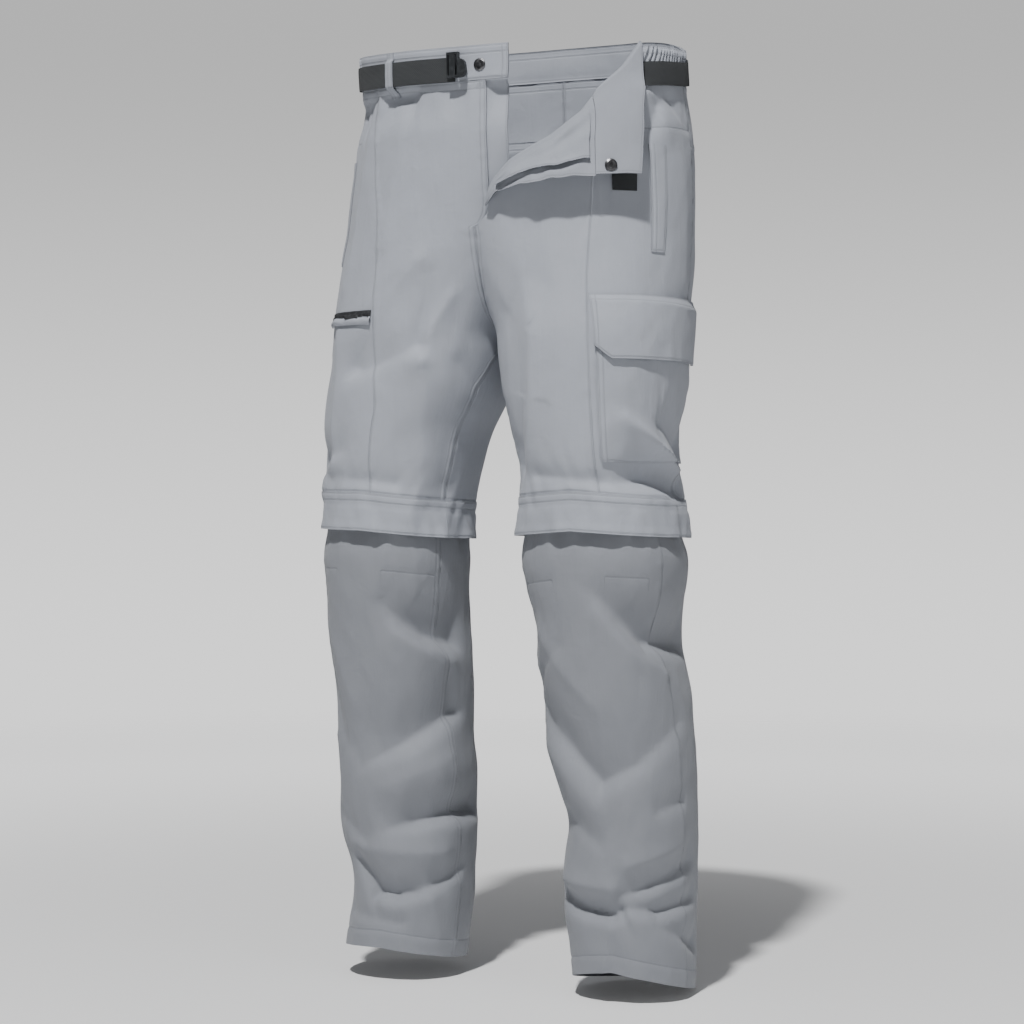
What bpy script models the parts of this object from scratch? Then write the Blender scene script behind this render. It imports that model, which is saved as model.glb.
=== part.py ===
# Convertible zip-off trousers, hollow as worn, with the fly open and the left front corner folded out.
# Metres, +Z up, the front faces -Y and the wearer's left is +X.
# The origin is the centre of the waist opening, at the height of the waist's sides.
# A place on the cloth is a side, an angle and a height. Angle 0 is the front, 90 the outer side, 180 the back.
import math

import bmesh
import bpy
import numpy as np
from mathutils import Matrix, Vector

# Driving dimensions
GAP = 0.0003
CLOTH = 0.0014
BAND_HEIGHT = 0.037
BAND_OUT = 0.0010
BAND_IN = 0.0018
CROTCH_Z = -0.315
KNEE_Z = -0.489
KNEE_FLAP = 0.041
HEM_DEPTH = 0.019
HEM_EXTRA = 0.0008
FLY_EDGE_X = 0.017
UNDERLAP_X = 0.040
BAND_END_X = 0.043
FLY_BOTTOM_Z = -0.205
WEBBING_WIDTH = 0.026
WEBBING = 0.0016
BELT_OUT = 0.0026
LOOP_WIDTH = 0.010
SNAP_RADIUS = 0.0067
GATHERS = 14
LEFT_DIP = 0.0120
LEFT_SAG = 0.0060
CORNER_LIFT = 0.0200
SQUARENESS = 2.15

# Sections of the hips and thigh, and of the lower leg: height, centre, half widths outward and inward,
# half depths to the front and to the back. x counts outward from the middle of the body.
THIGH = {
    "left": (
        (0.035, 0.000, 0.000, 0.187, 0.187, 0.128, 0.128),
        (0.000, 0.000, 0.000, 0.188, 0.188, 0.128, 0.128),
        (-0.050, 0.000, 0.000, 0.190, 0.190, 0.127, 0.131),
        (-0.100, 0.008, -0.002, 0.189, 0.172, 0.125, 0.136),
        (-0.150, 0.025, -0.005, 0.175, 0.146, 0.120, 0.141),
        (-0.200, 0.046, -0.010, 0.155, 0.122, 0.114, 0.143),
        (-0.250, 0.069, -0.020, 0.132, 0.105, 0.107, 0.143),
        (-0.290, 0.086, -0.029, 0.114, 0.0985, 0.103, 0.139),
        (-0.315, 0.095, -0.035, 0.105, 0.0948, 0.101, 0.135),
        (-0.340, 0.100, -0.037, 0.099, 0.0965, 0.100, 0.128),
        (-0.380, 0.104, -0.039, 0.094, 0.094, 0.098, 0.117),
        (-0.420, 0.108, -0.040, 0.088, 0.088, 0.096, 0.108),
        (-0.460, 0.113, -0.042, 0.083, 0.083, 0.092, 0.101),
        (-0.490, 0.116, -0.042, 0.087, 0.087, 0.090, 0.098),
        (-0.555, 0.118, -0.042, 0.088, 0.088, 0.088, 0.095),
    ),
    "right": (
        (0.035, 0.000, 0.000, 0.183, 0.183, 0.128, 0.128),
        (0.000, 0.000, 0.000, 0.183, 0.183, 0.128, 0.128),
        (-0.050, 0.000, 0.000, 0.181, 0.181, 0.127, 0.131),
        (-0.100, 0.008, -0.002, 0.179, 0.163, 0.125, 0.136),
        (-0.150, 0.025, -0.005, 0.166, 0.139, 0.120, 0.141),
        (-0.200, 0.046, -0.010, 0.149, 0.119, 0.114, 0.143),
        (-0.250, 0.069, -0.018, 0.131, 0.1045, 0.107, 0.143),
        (-0.290, 0.086, -0.024, 0.117, 0.0985, 0.103, 0.139),
        (-0.315, 0.095, -0.028, 0.108, 0.0948, 0.101, 0.135),
        (-0.340, 0.103, -0.028, 0.100, 0.0995, 0.100, 0.128),
        (-0.380, 0.112, -0.029, 0.096, 0.098, 0.098, 0.117),
        (-0.420, 0.123, -0.030, 0.091, 0.090, 0.096, 0.108),
        (-0.460, 0.130, -0.032, 0.087, 0.087, 0.092, 0.101),
        (-0.490, 0.132, -0.032, 0.082, 0.082, 0.090, 0.098),
        (-0.555, 0.133, -0.032, 0.080, 0.080, 0.088, 0.095),
    ),
}
SHIN = {
    "left": (
        (-0.500, 0.117, -0.042, 0.082, 0.082, 0.082, 0.088),
        (-0.535, 0.118, -0.042, 0.084, 0.084, 0.083, 0.089),
        (-0.555, 0.119, -0.042, 0.088, 0.088, 0.085, 0.090),
        (-0.590, 0.121, -0.040, 0.084, 0.084, 0.085, 0.090),
        (-0.630, 0.123, -0.037, 0.076, 0.076, 0.083, 0.088),
        (-0.670, 0.124, -0.034, 0.077, 0.077, 0.082, 0.087),
        (-0.710, 0.128, -0.029, 0.079, 0.079, 0.081, 0.086),
        (-0.760, 0.132, -0.022, 0.077, 0.077, 0.080, 0.085),
        (-0.810, 0.137, -0.016, 0.072, 0.072, 0.078, 0.083),
        (-0.850, 0.141, -0.011, 0.068, 0.068, 0.076, 0.080),
        (-0.875, 0.138, -0.009, 0.070, 0.070, 0.075, 0.079),
        (-0.910, 0.135, -0.006, 0.071, 0.071, 0.075, 0.079),
        (-0.940, 0.135, -0.004, 0.070, 0.070, 0.074, 0.078),
        (-0.970, 0.136, -0.002, 0.068, 0.068, 0.072, 0.077),
        (-1.000, 0.137, 0.000, 0.066, 0.066, 0.071, 0.076),
        (-1.035, 0.137, 0.000, 0.063, 0.063, 0.069, 0.074),
    ),
    "right": (
        (-0.500, 0.133, -0.032, 0.077, 0.077, 0.082, 0.088),
        (-0.535, 0.134, -0.032, 0.077, 0.077, 0.083, 0.089),
        (-0.555, 0.135, -0.032, 0.079, 0.079, 0.085, 0.090),
        (-0.590, 0.136, -0.029, 0.077, 0.077, 0.085, 0.090),
        (-0.630, 0.137, -0.024, 0.077, 0.077, 0.083, 0.088),
        (-0.670, 0.135, -0.020, 0.077, 0.077, 0.082, 0.087),
        (-0.710, 0.134, -0.015, 0.075, 0.075, 0.081, 0.086),
        (-0.760, 0.136, -0.008, 0.073, 0.073, 0.080, 0.085),
        (-0.810, 0.135, -0.002, 0.075, 0.075, 0.078, 0.083),
        (-0.850, 0.137, 0.003, 0.076, 0.076, 0.076, 0.080),
        (-0.875, 0.137, 0.005, 0.074, 0.074, 0.075, 0.079),
        (-0.910, 0.134, 0.008, 0.067, 0.067, 0.075, 0.079),
        (-0.940, 0.135, 0.010, 0.066, 0.066, 0.074, 0.078),
        (-0.970, 0.140, 0.012, 0.067, 0.067, 0.072, 0.077),
        (-1.000, 0.145, 0.014, 0.067, 0.067, 0.071, 0.076),
        (-1.035, 0.149, 0.014, 0.064, 0.064, 0.069, 0.074),
    ),
}

# Seams as angle against height
FRONT_SEAM = {
    "left": ((0.0, 44), (-0.083, 39), (-0.15, 36.5), (-0.20, 32.5), (-0.265, 26), (-0.33, 22), (-0.56, 21)),
    "right": (
        (0.0, 44), (-0.083, 44), (-0.15, 37), (-0.20, 29), (-0.265, 20), (-0.33, 12), (-0.40, -1), (-0.56, -8),
    ),
}
SIDE_SEAM = ((0.0, 93), (-0.10, 96), (-0.36, 101), (-0.56, 104))
INSEAM = ((-0.315, -90), (-0.325, -85), (-0.345, -75), (-0.375, -67), (-0.42, -65), (-0.56, -66))
SHIN_SEAM = ((-0.49, 64), (-0.57, 65), (-0.64, 66), (-0.72, 73), (-0.83, 74), (-0.91, 80), (-1.04, 80))

# The turned-out left front corner: the fold line, the waistband's seam and outer edge on it, and its lower edge
FOLD_LINE = (
    (60.5, -0.0155), (52, -0.045), (43, -0.066), (35, -0.093), (24, -0.117), (8, -0.141), (-4, -0.168), (-12, -0.193),
)
FOLD_LINE += ((-25, -0.2085),)
CORNER_SEAM = ((-0.07, 40.5), (-0.086, 40), (-0.162, 36))
CORNER_EDGE = ((-0.0155, 60.5), (-0.108, 56), (-0.158, 52))
FACING_FOOT = ((0, -0.1655), (12, -0.157), (24, -0.150), (38, -0.143))
CORNER_FOOT = (
    (-9, -0.1845), (-4, -0.178), (1, -0.1715), (12, -0.167), (24, -0.164), (36, -0.161), (53, -0.159),
)

# Main folds: side, part, the crease's two ends (angle, height), its half width, its height (down is a trough)
FOLDS = (
    ("left", "thigh", -10, -0.270, -24, -0.430, 0.016, 0.0040),
    ("left", "thigh", 42, -0.418, 100, -0.458, 0.014, 0.0060),
    ("left", "thigh", 30, -0.472, 104, -0.478, 0.014, -0.0060),
    ("left", "thigh", 70, -0.425, 80, -0.400, 0.014, -0.0035),
    ("right", "thigh", 22, -0.300, -20, -0.345, 0.016, -0.0040),
    ("right", "thigh", 60, -0.448, 24, -0.440, 0.013, -0.0045),
    ("right", "thigh", -30, -0.250, -40, -0.420, 0.020, 0.0040),
    ("left", "thigh", 150, -0.330, 225, -0.300, 0.016, -0.0055),
    ("right", "thigh", 145, -0.325, 230, -0.305, 0.016, -0.0055),
    ("left", "thigh", 140, -0.440, 230, -0.455, 0.014, -0.0050),
    ("right", "thigh", 135, -0.450, 225, -0.435, 0.014, -0.0050),
    ("left", "shin", 17, -0.610, 52, -0.652, 0.012, 0.0050),
    ("left", "shin", 52, -0.652, 100, -0.670, 0.012, 0.0045),
    ("left", "shin", 38, -0.602, 96, -0.640, 0.015, -0.0080),
    ("left", "shin", -57, -0.728, 0, -0.796, 0.013, -0.0055),
    ("left", "shin", 10, -0.720, 70, -0.800, 0.020, 0.0040),
    ("left", "shin", 16, -0.908, 40, -0.886, 0.009, -0.0055),
    ("left", "shin", 40, -0.886, 85, -0.878, 0.009, -0.0050),
    ("left", "shin", -55, -0.928, 11, -0.932, 0.009, -0.0080),
    ("left", "shin", 15, -0.935, 85, -0.928, 0.009, -0.0080),
    ("left", "shin", -50, -0.905, 70, -0.907, 0.012, 0.0050),
    ("left", "shin", 7, -0.958, 97, -0.978, 0.009, -0.0045),
    ("right", "shin", -18, -0.612, -74, -0.632, 0.014, -0.0070),
    ("right", "shin", -24, -0.636, -74, -0.660, 0.012, 0.0045),
    ("right", "shin", 14, -0.786, -72, -0.736, 0.013, -0.0060),
    ("right", "shin", 10, -0.762, -70, -0.712, 0.014, 0.0040),
    ("right", "shin", -10, -0.852, -62, -0.842, 0.010, -0.0055),
    ("right", "shin", -62, -0.842, -104, -0.846, 0.010, -0.0050),
    ("right", "shin", 24, -0.912, 8, -0.936, 0.009, -0.0080),
    ("right", "shin", 8, -0.936, -44, -0.926, 0.009, -0.0080),
    ("right", "shin", -44, -0.926, -80, -0.914, 0.009, -0.0070),
    ("right", "shin", 20, -0.888, -60, -0.892, 0.012, 0.0050),
    ("left", "shin", 130, -0.600, 225, -0.615, 0.014, -0.0060),
    ("left", "shin", 125, -0.850, 215, -0.870, 0.012, -0.0055),
    ("left", "shin", 140, -0.925, 250, -0.930, 0.010, -0.0070),
    ("right", "shin", 130, -0.615, 225, -0.600, 0.014, -0.0060),
    ("right", "shin", 125, -0.870, 220, -0.850, 0.012, -0.0055),
    ("right", "shin", 110, -0.930, 235, -0.925, 0.010, -0.0070),
)
METRES_PER_DEGREE = 0.0016


# The garment's surface
def along(table, value):
    """A straight-line reading of a two-column table, given in either order."""
    rows = sorted(table)
    return np.interp(value, [row[0] for row in rows], [row[1] for row in rows])


def section(side, part, z):
    """The section's centre and half sizes at a height: a smooth curve through the table's rows."""
    rows = np.array((THIGH if part == "thigh" else SHIN)[side])[::-1]
    heights, values = rows[:, 0], rows[:, 1:]
    slopes = np.gradient(values, heights, axis=0)
    z = np.clip(np.asarray(z, float), heights[0], heights[-1])
    k = np.clip(np.searchsorted(heights, z) - 1, 0, len(heights) - 2)
    step = (heights[k + 1] - heights[k])[..., None]
    t = (z - heights[k])[..., None] / step
    start = (2 * t**3 - 3 * t**2 + 1) * values[k] + (t**3 - 2 * t**2 + t) * step * slopes[k]
    end = (3 * t**2 - 2 * t**3) * values[k + 1] + (t**3 - t**2) * step * slopes[k + 1]
    return np.moveaxis(start + end, -1, 0)


def smooth_point(side, part, angle, z):
    """A point of the garment's form without its folds."""
    angle, z = np.broadcast_arrays(np.asarray(angle, float), np.asarray(z, float))
    cx, cy, outer, inner, front, back = section(side, part, z)
    s, c = np.sin(np.radians(angle)), np.cos(np.radians(angle))
    reach = (np.abs(s) ** SQUARENESS + np.abs(c) ** SQUARENESS) ** (-1 / SQUARENESS)
    x = cx + np.where(s > 0, outer, inner) * s * reach
    y = cy - np.where(c > 0, front, back) * c * reach
    return np.stack([x if side == "left" else -x, y, z], -1)


def smooth_normal(side, part, angle, z):
    """The outward direction of the form, from its slopes round and down the leg."""
    round_leg = smooth_point(side, part, angle + 0.5, z) - smooth_point(side, part, angle - 0.5, z)
    up_leg = smooth_point(side, part, angle, z + 0.001) - smooth_point(side, part, angle, z - 0.001)
    normal = np.cross(round_leg, up_leg)
    normal /= np.linalg.norm(normal, axis=-1, keepdims=True)
    return normal if side == "left" else -normal


def fold_height(side, part, angle, z):
    """How far the folds lift or sink the cloth at a place."""
    total = np.zeros(np.broadcast(angle, z).shape)
    for fold_side, fold_part, a0, z0, a1, z1, width, height in FOLDS:
        if (fold_side, fold_part) != (side, part):
            continue
        run, drop = (a1 - a0) * METRES_PER_DEGREE, z1 - z0
        length = math.hypot(run, drop)
        across = np.mod(angle - a0 + 180, 360) - 180
        du, dz = across * METRES_PER_DEGREE, z - z0
        t = (du * run + dz * drop) / length
        off = (dz * run - du * drop) / length
        past = np.maximum(np.abs(t - length / 2) - length / 2, 0)
        total = total + height * np.exp(-((off / width) ** 2) - (past / (1.5 * width)) ** 2)
    if part == "thigh":
        middle = np.abs(smooth_point(side, part, angle, z)[..., 0])
        total = total * np.clip(middle / 0.03, 0, 1)
    return total


def cloth(side, part, angle, z, out=0.0):
    """Points on the cloth's face, moved out along its outward direction."""
    angle, z = np.broadcast_arrays(np.asarray(angle, float), np.asarray(z, float))
    lift = fold_height(side, part, angle, z) + out
    return smooth_point(side, part, angle, z) + smooth_normal(side, part, angle, z) * lift[..., None]


# Edges of the pieces
def angle_at_x(side, z, x, back=False):
    """The angle at which the thigh's section reaches x, counted outward from the body's middle."""
    cx, _, _, inner, _, _ = section(side, "thigh", z)
    share = np.clip((cx - x) / inner, -0.999999, 1.0)
    powered = np.abs(share) ** SQUARENESS
    turn = np.degrees(np.arctan2(powered ** (1 / SQUARENESS), (1 - powered) ** (1 / SQUARENESS)))
    turn = turn * np.sign(share)
    return 180 + turn if back else -turn


def inner_edge(side, z, back=False):
    """The front or back panel's edge: the middle seam above the crotch, the inseam below it."""
    middle = angle_at_x(side, z, GAP / 2, back)
    leg_gap = math.degrees(GAP / 2 / 0.095)
    inseam = along(INSEAM, z) + (360 - leg_gap if back else leg_gap)
    return np.where(z > CROTCH_Z, middle, inseam)


def waist_top(side, angle):
    """The waistband's top is lower in front, and on the left where the open fly lets it sag."""
    level = 0.006 - 0.020 * np.cos(np.radians(angle))
    if side == "left":
        share = np.clip((150 - angle) / 50, 0, 1)
        level = level - LEFT_DIP * share * share * (3 - 2 * share)
        level = level - LEFT_SAG * np.exp(-(((angle - 100) / 25) ** 2))
    return level


def band_foot(side, angle):
    return waist_top(side, angle) - BAND_HEIGHT


def corner_lift(columns):
    """How far the turned-out corner hangs away from the thigh at its foot."""
    return 0.002 + (CORNER_LIFT - 0.002) * np.clip((columns + 9) / 30, 0, 1)


def knee_line(side, angle):
    """The height of the knee seam round the leg."""
    inward = np.clip(-np.sin(np.radians(angle)), 0, 1)
    outward = np.clip(np.sin(np.radians(angle)), 0, 1)
    behind = np.clip(-np.cos(np.radians(angle)), 0, 1)
    if side == "left":
        return KNEE_Z - 0.006 * inward - 0.007 * outward - 0.004 * behind
    return KNEE_Z - 0.009 * inward + 0.002 * outward - 0.004 * behind


def hem_line(side, angle):
    """The hem dips towards the heel and a little at the leg's sides."""
    behind = (1 - np.cos(np.radians(angle))) / 2
    inward = np.clip(-np.sin(np.radians(angle)), 0, 1)
    outward = np.clip(np.sin(np.radians(angle)), 0, 1)
    if side == "left":
        return -0.999 - 0.028 * behind - 0.007 * inward - 0.010 * outward
    return -0.995 - 0.020 * behind - 0.007 * inward


def fold_line(angle):
    return along(FOLD_LINE, angle)


# Materials and mesh tools
def make_material(name, colour, roughness, metallic=0.0):
    made = bpy.data.materials.new(name)
    made.use_nodes = True
    shader = made.node_tree.nodes["Principled BSDF"]
    shader.inputs["Base Color"].default_value = (*colour, 1)
    shader.inputs["Roughness"].default_value = roughness
    shader.inputs["Metallic"].default_value = metallic
    made.diffuse_color = (*colour, 1)
    return made


def add_object(name, mesh, material):
    made = bpy.data.objects.new(name, mesh)
    mesh.materials.append(material)
    collection.objects.link(made)
    return made


def wall(name, face, lining, material, ring=False):
    """A closed sheet between two grids of points: the face, and the lining behind it."""
    rows, cols = face.shape[:2]
    points = [tuple(p) for grid in (face, lining) for row in grid for p in row]
    back = rows * cols
    last = cols if ring else cols - 1
    faces = []
    for i in range(rows - 1):
        for j in range(last):
            a, b = i * cols + j, i * cols + (j + 1) % cols
            c, d = b + cols, a + cols
            faces.append((a, b, c, d))
            faces.append((back + d, back + c, back + b, back + a))
    for j in range(last):
        a, b = j, (j + 1) % cols
        faces.append((back + a, back + b, b, a))
        a, b = a + (rows - 1) * cols, b + (rows - 1) * cols
        faces.append((a, b, back + b, back + a))
    if not ring:
        for i in range(rows - 1):
            a, b = i * cols, (i + 1) * cols
            faces.append((a, b, back + b, back + a))
            a, b = a + cols - 1, b + cols - 1
            faces.append((back + a, back + b, b, a))
    mesh = bpy.data.meshes.new(name)
    mesh.from_pydata(points, [], faces)
    bm = bmesh.new()
    bm.from_mesh(mesh)
    bmesh.ops.recalc_face_normals(bm, faces=bm.faces)
    if bm.calc_volume(signed=True) < 0:
        bmesh.ops.reverse_faces(bm, faces=bm.faces)
    bm.to_mesh(mesh)
    bm.free()
    mesh.shade_smooth()
    mesh.set_sharp_from_angle(angle=math.radians(50))
    return add_object(name, mesh, material)


def place_grid(top, foot, edge_a, edge_b, levels, rows_above, rows_below, cols):
    """Angles and heights for a panel between two seams, a top line and a foot line."""
    u = np.linspace(0, 1, cols + 1)[None, :]
    count = rows_above + len(levels) + rows_below
    mid = (edge_a(levels[0]) + edge_b(levels[0])) / 2
    z = np.repeat(np.linspace(top(mid), foot(mid), count)[:, None], cols + 1, 1)
    angle = None
    for _ in range(6):
        angle = edge_a(z) * (1 - u) + edge_b(z) * u
        rows = []
        for i in range(rows_above):
            t = i / rows_above
            rows.append(top(angle[i]) * (1 - t) + levels[0] * t)
        rows += [np.full(cols + 1, level) for level in levels]
        for i in range(rows_below):
            t = (i + 1) / rows_below
            rows.append(levels[-1] * (1 - t) + foot(angle[len(rows)]) * t)
        z = np.array(rows)
    return angle, z


def keep_side(points, side, clear):
    """Keeps a panel's points on its own side of the body's middle."""
    sign = 1 if side == "left" else -1
    points[..., 0] = np.where(clear, np.maximum(sign * points[..., 0], GAP / 2) * sign, points[..., 0])
    return points


def panel(name, side, part, angle, z, material, out=0.0, thick=CLOTH):
    """A cloth panel over a grid of places."""
    face = cloth(side, part, angle, z, out)
    lining = cloth(side, part, angle, z, out - thick)
    if part == "thigh":
        clear = (z < FLY_BOTTOM_Z) | (np.cos(np.radians(angle)) < 0) | (side == "left")
        face, lining = keep_side(face, side, clear), keep_side(lining, side, clear)
    return wall(name, face, lining, material)


def steps(start, end, count):
    return list(np.linspace(start, end, count))


def frame_on(side, part, angle, z, out):
    """A matrix on the cloth: X runs round the leg, Y up it and Z outward."""
    point = Vector(cloth(side, part, angle, z, out))
    normal = Vector(smooth_normal(side, part, np.asarray(angle, float), np.asarray(z, float)))
    up = (Vector((0, 0, 1)) - normal * normal.z).normalized()
    turn = Matrix((up.cross(normal), up, normal)).transposed()
    return Matrix.Translation(point) @ turn.to_4x4()


def turned(name, profile, place, material, sides=20):
    """A closed turned piece from its half profile, listed from the axis at the top to the axis at the foot."""
    bm = bmesh.new()
    rings = []
    for radius, height in profile:
        if radius == 0:
            rings.append([bm.verts.new((0, 0, height))])
            continue
        turns = [2 * math.pi * k / sides for k in range(sides)]
        rings.append([bm.verts.new((radius * math.cos(t), radius * math.sin(t), height)) for t in turns])
    for upper, lower in zip(rings, rings[1:]):
        for k in range(sides):
            n = (k + 1) % sides
            if len(upper) == 1:
                bm.faces.new((upper[0], lower[k], lower[n]))
            elif len(lower) == 1:
                bm.faces.new((upper[k], lower[0], upper[n]))
            else:
                bm.faces.new((upper[k], lower[k], lower[n], upper[n]))
    bmesh.ops.recalc_face_normals(bm, faces=bm.faces)
    mesh = bpy.data.meshes.new(name)
    bm.to_mesh(mesh)
    bm.free()
    mesh.shade_smooth()
    mesh.set_sharp_from_angle(angle=math.radians(35))
    made = add_object(name, mesh, material)
    made.matrix_world = place
    return made


def block(name, size, place, material, bevel=0.0006, segments=2):
    """A block with rounded edges, its foot on the place."""
    bm = bmesh.new()
    bmesh.ops.create_cube(bm, size=1.0)
    bmesh.ops.scale(bm, vec=size, verts=bm.verts)
    bmesh.ops.translate(bm, vec=(0, 0, size[2] / 2), verts=bm.verts)
    mesh = bpy.data.meshes.new(name)
    bm.to_mesh(mesh)
    bm.free()
    made = add_object(name, mesh, material)
    made.matrix_world = place
    rounding = made.modifiers.new("rounding", "BEVEL")
    rounding.width = bevel
    rounding.segments = segments
    return made


def cut_window(target, size, shift, place):
    """Cuts a straight window through a block."""
    bm = bmesh.new()
    bmesh.ops.create_cube(bm, size=1.0)
    bmesh.ops.scale(bm, vec=size, verts=bm.verts)
    bmesh.ops.translate(bm, vec=shift, verts=bm.verts)
    mesh = bpy.data.meshes.new(target.name + "_window")
    bm.to_mesh(mesh)
    bm.free()
    tool = bpy.data.objects.new(mesh.name, mesh)
    cutters.objects.link(tool)
    tool.matrix_world = place
    tool.hide_render = True
    tool.display_type = "WIRE"
    cut = target.modifiers.new("window", "BOOLEAN")
    cut.operation = "DIFFERENCE"
    cut.object = tool


# Body panels
THIGH_LEVELS = [-0.12, -0.15, -0.175, -0.205, -0.235, -0.26, -0.28, -0.296, -0.307, -0.3138, -0.3162, -0.324]
THIGH_LEVELS += [-0.338, -0.357, -0.38, -0.405, -0.425, -0.443, -0.463]
SHIN_LEVELS = [-0.535, -0.556, -0.578] + steps(-0.600, -0.885, 13) + [-0.905, -0.919, -0.932, -0.950, -0.975]
SEAM_HALF = math.degrees(GAP / 2 / 0.1)


def panel_top(side):
    return lambda angle: band_foot(side, angle) - GAP


def left_top(angle):
    """Under the waistband at the side, and along the fold line in front."""
    return np.where(angle > 48.0, np.minimum(panel_top("left")(angle), fold_line(angle)), fold_line(angle))


def on_panel(side, angle, z, out):
    """Points moved out from a thigh panel's own rows, for what lies on it."""
    angle, z = np.broadcast_arrays(np.asarray(angle, float), np.asarray(z, float))
    levels = np.array(THIGH_LEVELS)
    above = levels[np.clip(np.searchsorted(-levels, -z) - 1, 0, len(levels) - 2)]
    below = levels[np.clip(np.searchsorted(-levels, -z), 1, len(levels) - 1)]
    share = ((above - z) / (above - below))[..., None]
    return cloth(side, "thigh", angle, above, out) * (1 - share) + cloth(side, "thigh", angle, below, out) * share


def thigh_foot(side):
    return lambda angle: knee_line(side, angle) + GAP / 2


def right_fly_edge(z):
    """The right front reaches past the middle as far down as the fly's end, then follows the seam."""
    share = np.clip((z - FLY_BOTTOM_Z) / 0.030, 0, 1)
    x = FLY_EDGE_X * np.sqrt(share * (2 - share))
    open_part = angle_at_x("right", z, -x)
    return np.where(z > FLY_BOTTOM_Z, open_part, inner_edge("right", z))


def body_panels():
    for side in ("left", "right"):
        front_seam = FRONT_SEAM[side]
        fly = right_fly_edge if side == "right" else (lambda z: inner_edge("left", z))
        foot = thigh_foot(side)
        if side == "left":
            levels = [z for z in THIGH_LEVELS if z < -0.20]
            places = place_grid(fold_line, foot, fly, lambda z: along(front_seam, z) - SEAM_HALF, levels, 5, 1, 7)
            side_levels = [z for z in THIGH_LEVELS if z < -0.14]
            side_places = place_grid(
                left_top, foot, lambda z: along(front_seam, z) + SEAM_HALF,
                lambda z: along(SIDE_SEAM, z) - SEAM_HALF, side_levels, 3, 1, 8)
            fold_angles.extend([*places[0][0], *side_places[0][0]])
        else:
            places = place_grid(
                panel_top(side), foot, fly, lambda z: along(front_seam, z) - SEAM_HALF, THIGH_LEVELS, 2, 1, 7)
            side_places = place_grid(
                panel_top(side), foot, lambda z: along(front_seam, z) + SEAM_HALF,
                lambda z: along(SIDE_SEAM, z) - SEAM_HALF, THIGH_LEVELS, 2, 1, 8)
        panel(f"front_{side}", side, "thigh", *places, cloth_grey)
        panel(f"side_{side}", side, "thigh", *side_places, cloth_grey)
        back_edge = lambda z, side=side: inner_edge(side, z, back=True)
        side_edge = lambda z: along(SIDE_SEAM, z) + SEAM_HALF
        yoke_foot = lambda angle, side=side: band_foot(side, angle) - 0.067
        back_levels = [z for z in THIGH_LEVELS if z < -0.13]
        back = place_grid(lambda a: yoke_foot(a) - GAP, foot, side_edge, back_edge, back_levels, 2, 1, 12)
        panel(f"back_{side}", side, "thigh", *back, cloth_grey)
        yoke = place_grid(panel_top(side), yoke_foot, side_edge, back_edge, [-0.060], 1, 1, 20)
        panel(f"yoke_{side}", side, "thigh", *yoke, cloth_grey)


def knee_pieces():
    """The zip-off joint: a flap in two halves over the zip's tape, and the lower leg hung from it."""
    for side in ("left", "right"):
        top = lambda angle, side=side: knee_line(side, angle) - 2 * GAP
        foot = lambda angle, side=side: knee_line(side, angle) - KNEE_FLAP
        for half, start, end in (("front", -66, 104), ("back", 104, 294)):
            edge_a = lambda z, start=start: np.full(np.shape(z), start + SEAM_HALF)
            edge_b = lambda z, end=end: np.full(np.shape(z), end - SEAM_HALF)
            places = place_grid(top, foot, edge_a, edge_b, [KNEE_Z - 0.025], 1, 1, 22)
            panel(f"knee_flap_{half}_{side}", side, "thigh", *places, cloth_grey, out=0.0010, thick=0.0020)
        angle, share = np.meshgrid(np.arange(0, 360, 9.0), np.array([0.0, 1.0]))
        z = knee_line(side, angle) - 0.004 - 0.0112 * share
        out = -0.0018 - 0.0026 * share
        face = cloth(side, "thigh", angle, z, out)
        lining = cloth(side, "thigh", angle, z, out - 0.0012)
        wall(f"knee_zip_{side}", face, lining, zip_dark, ring=True)


def lower_legs():
    for side in ("left", "right"):
        top = lambda angle, side=side: knee_line(side, angle) - 0.0155
        hem = lambda angle, side=side: hem_line(side, angle)
        for half in ("front", "back"):
            if half == "front":
                edge_a = lambda z: -along(SHIN_SEAM, z) + SEAM_HALF
                edge_b = lambda z: along(SHIN_SEAM, z) - SEAM_HALF
                cols = 9
            else:
                edge_a = lambda z: along(SHIN_SEAM, z) + SEAM_HALF
                edge_b = lambda z: 360 - along(SHIN_SEAM, z) - SEAM_HALF
                cols = 12
            angle, z = place_grid(top, hem, edge_a, edge_b, SHIN_LEVELS, 1, 2, cols)
            face = cloth(side, "shin", angle, z)
            thick = CLOTH + HEM_EXTRA * (z < hem_line(side, angle) + HEM_DEPTH)
            lining = smooth_normal(side, "shin", angle, z) * -thick[..., None] + face
            wall(f"lower_{half}_{side}", face, lining, cloth_grey)


# Waist
def band_piece(name, spans, material, waves=0, slant=None):
    """A stretch of waistband: spans are side, first angle, last angle and columns."""
    faces, linings = [], []
    for side, start, end, cols in spans:
        u = np.linspace(0, 1, cols + 1)
        rows_face, rows_lining = [], []
        for t in (0.0, 1.0):
            first = start + (slant[1] - slant[0]) * t if slant else start
            angle = first + (end - first) * u
            z = waist_top(side, angle) - BAND_HEIGHT * t
            wave = 0.0011 * np.sin(2 * math.pi * waves * u + 0.5) * (1 - 0.3 * t) if waves else 0
            rows_face.append(cloth(side, "thigh", angle, z, BAND_OUT + wave))
            rows_lining.append(cloth(side, "thigh", angle, z, wave - BAND_IN))
        faces.append(np.array(rows_face))
        linings.append(np.array(rows_lining))
    if len(faces) == 2:
        faces[1], linings[1] = faces[1][:, 1:], linings[1][:, 1:]
    return wall(name, np.concatenate(faces, 1), np.concatenate(linings, 1), material)


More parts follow.
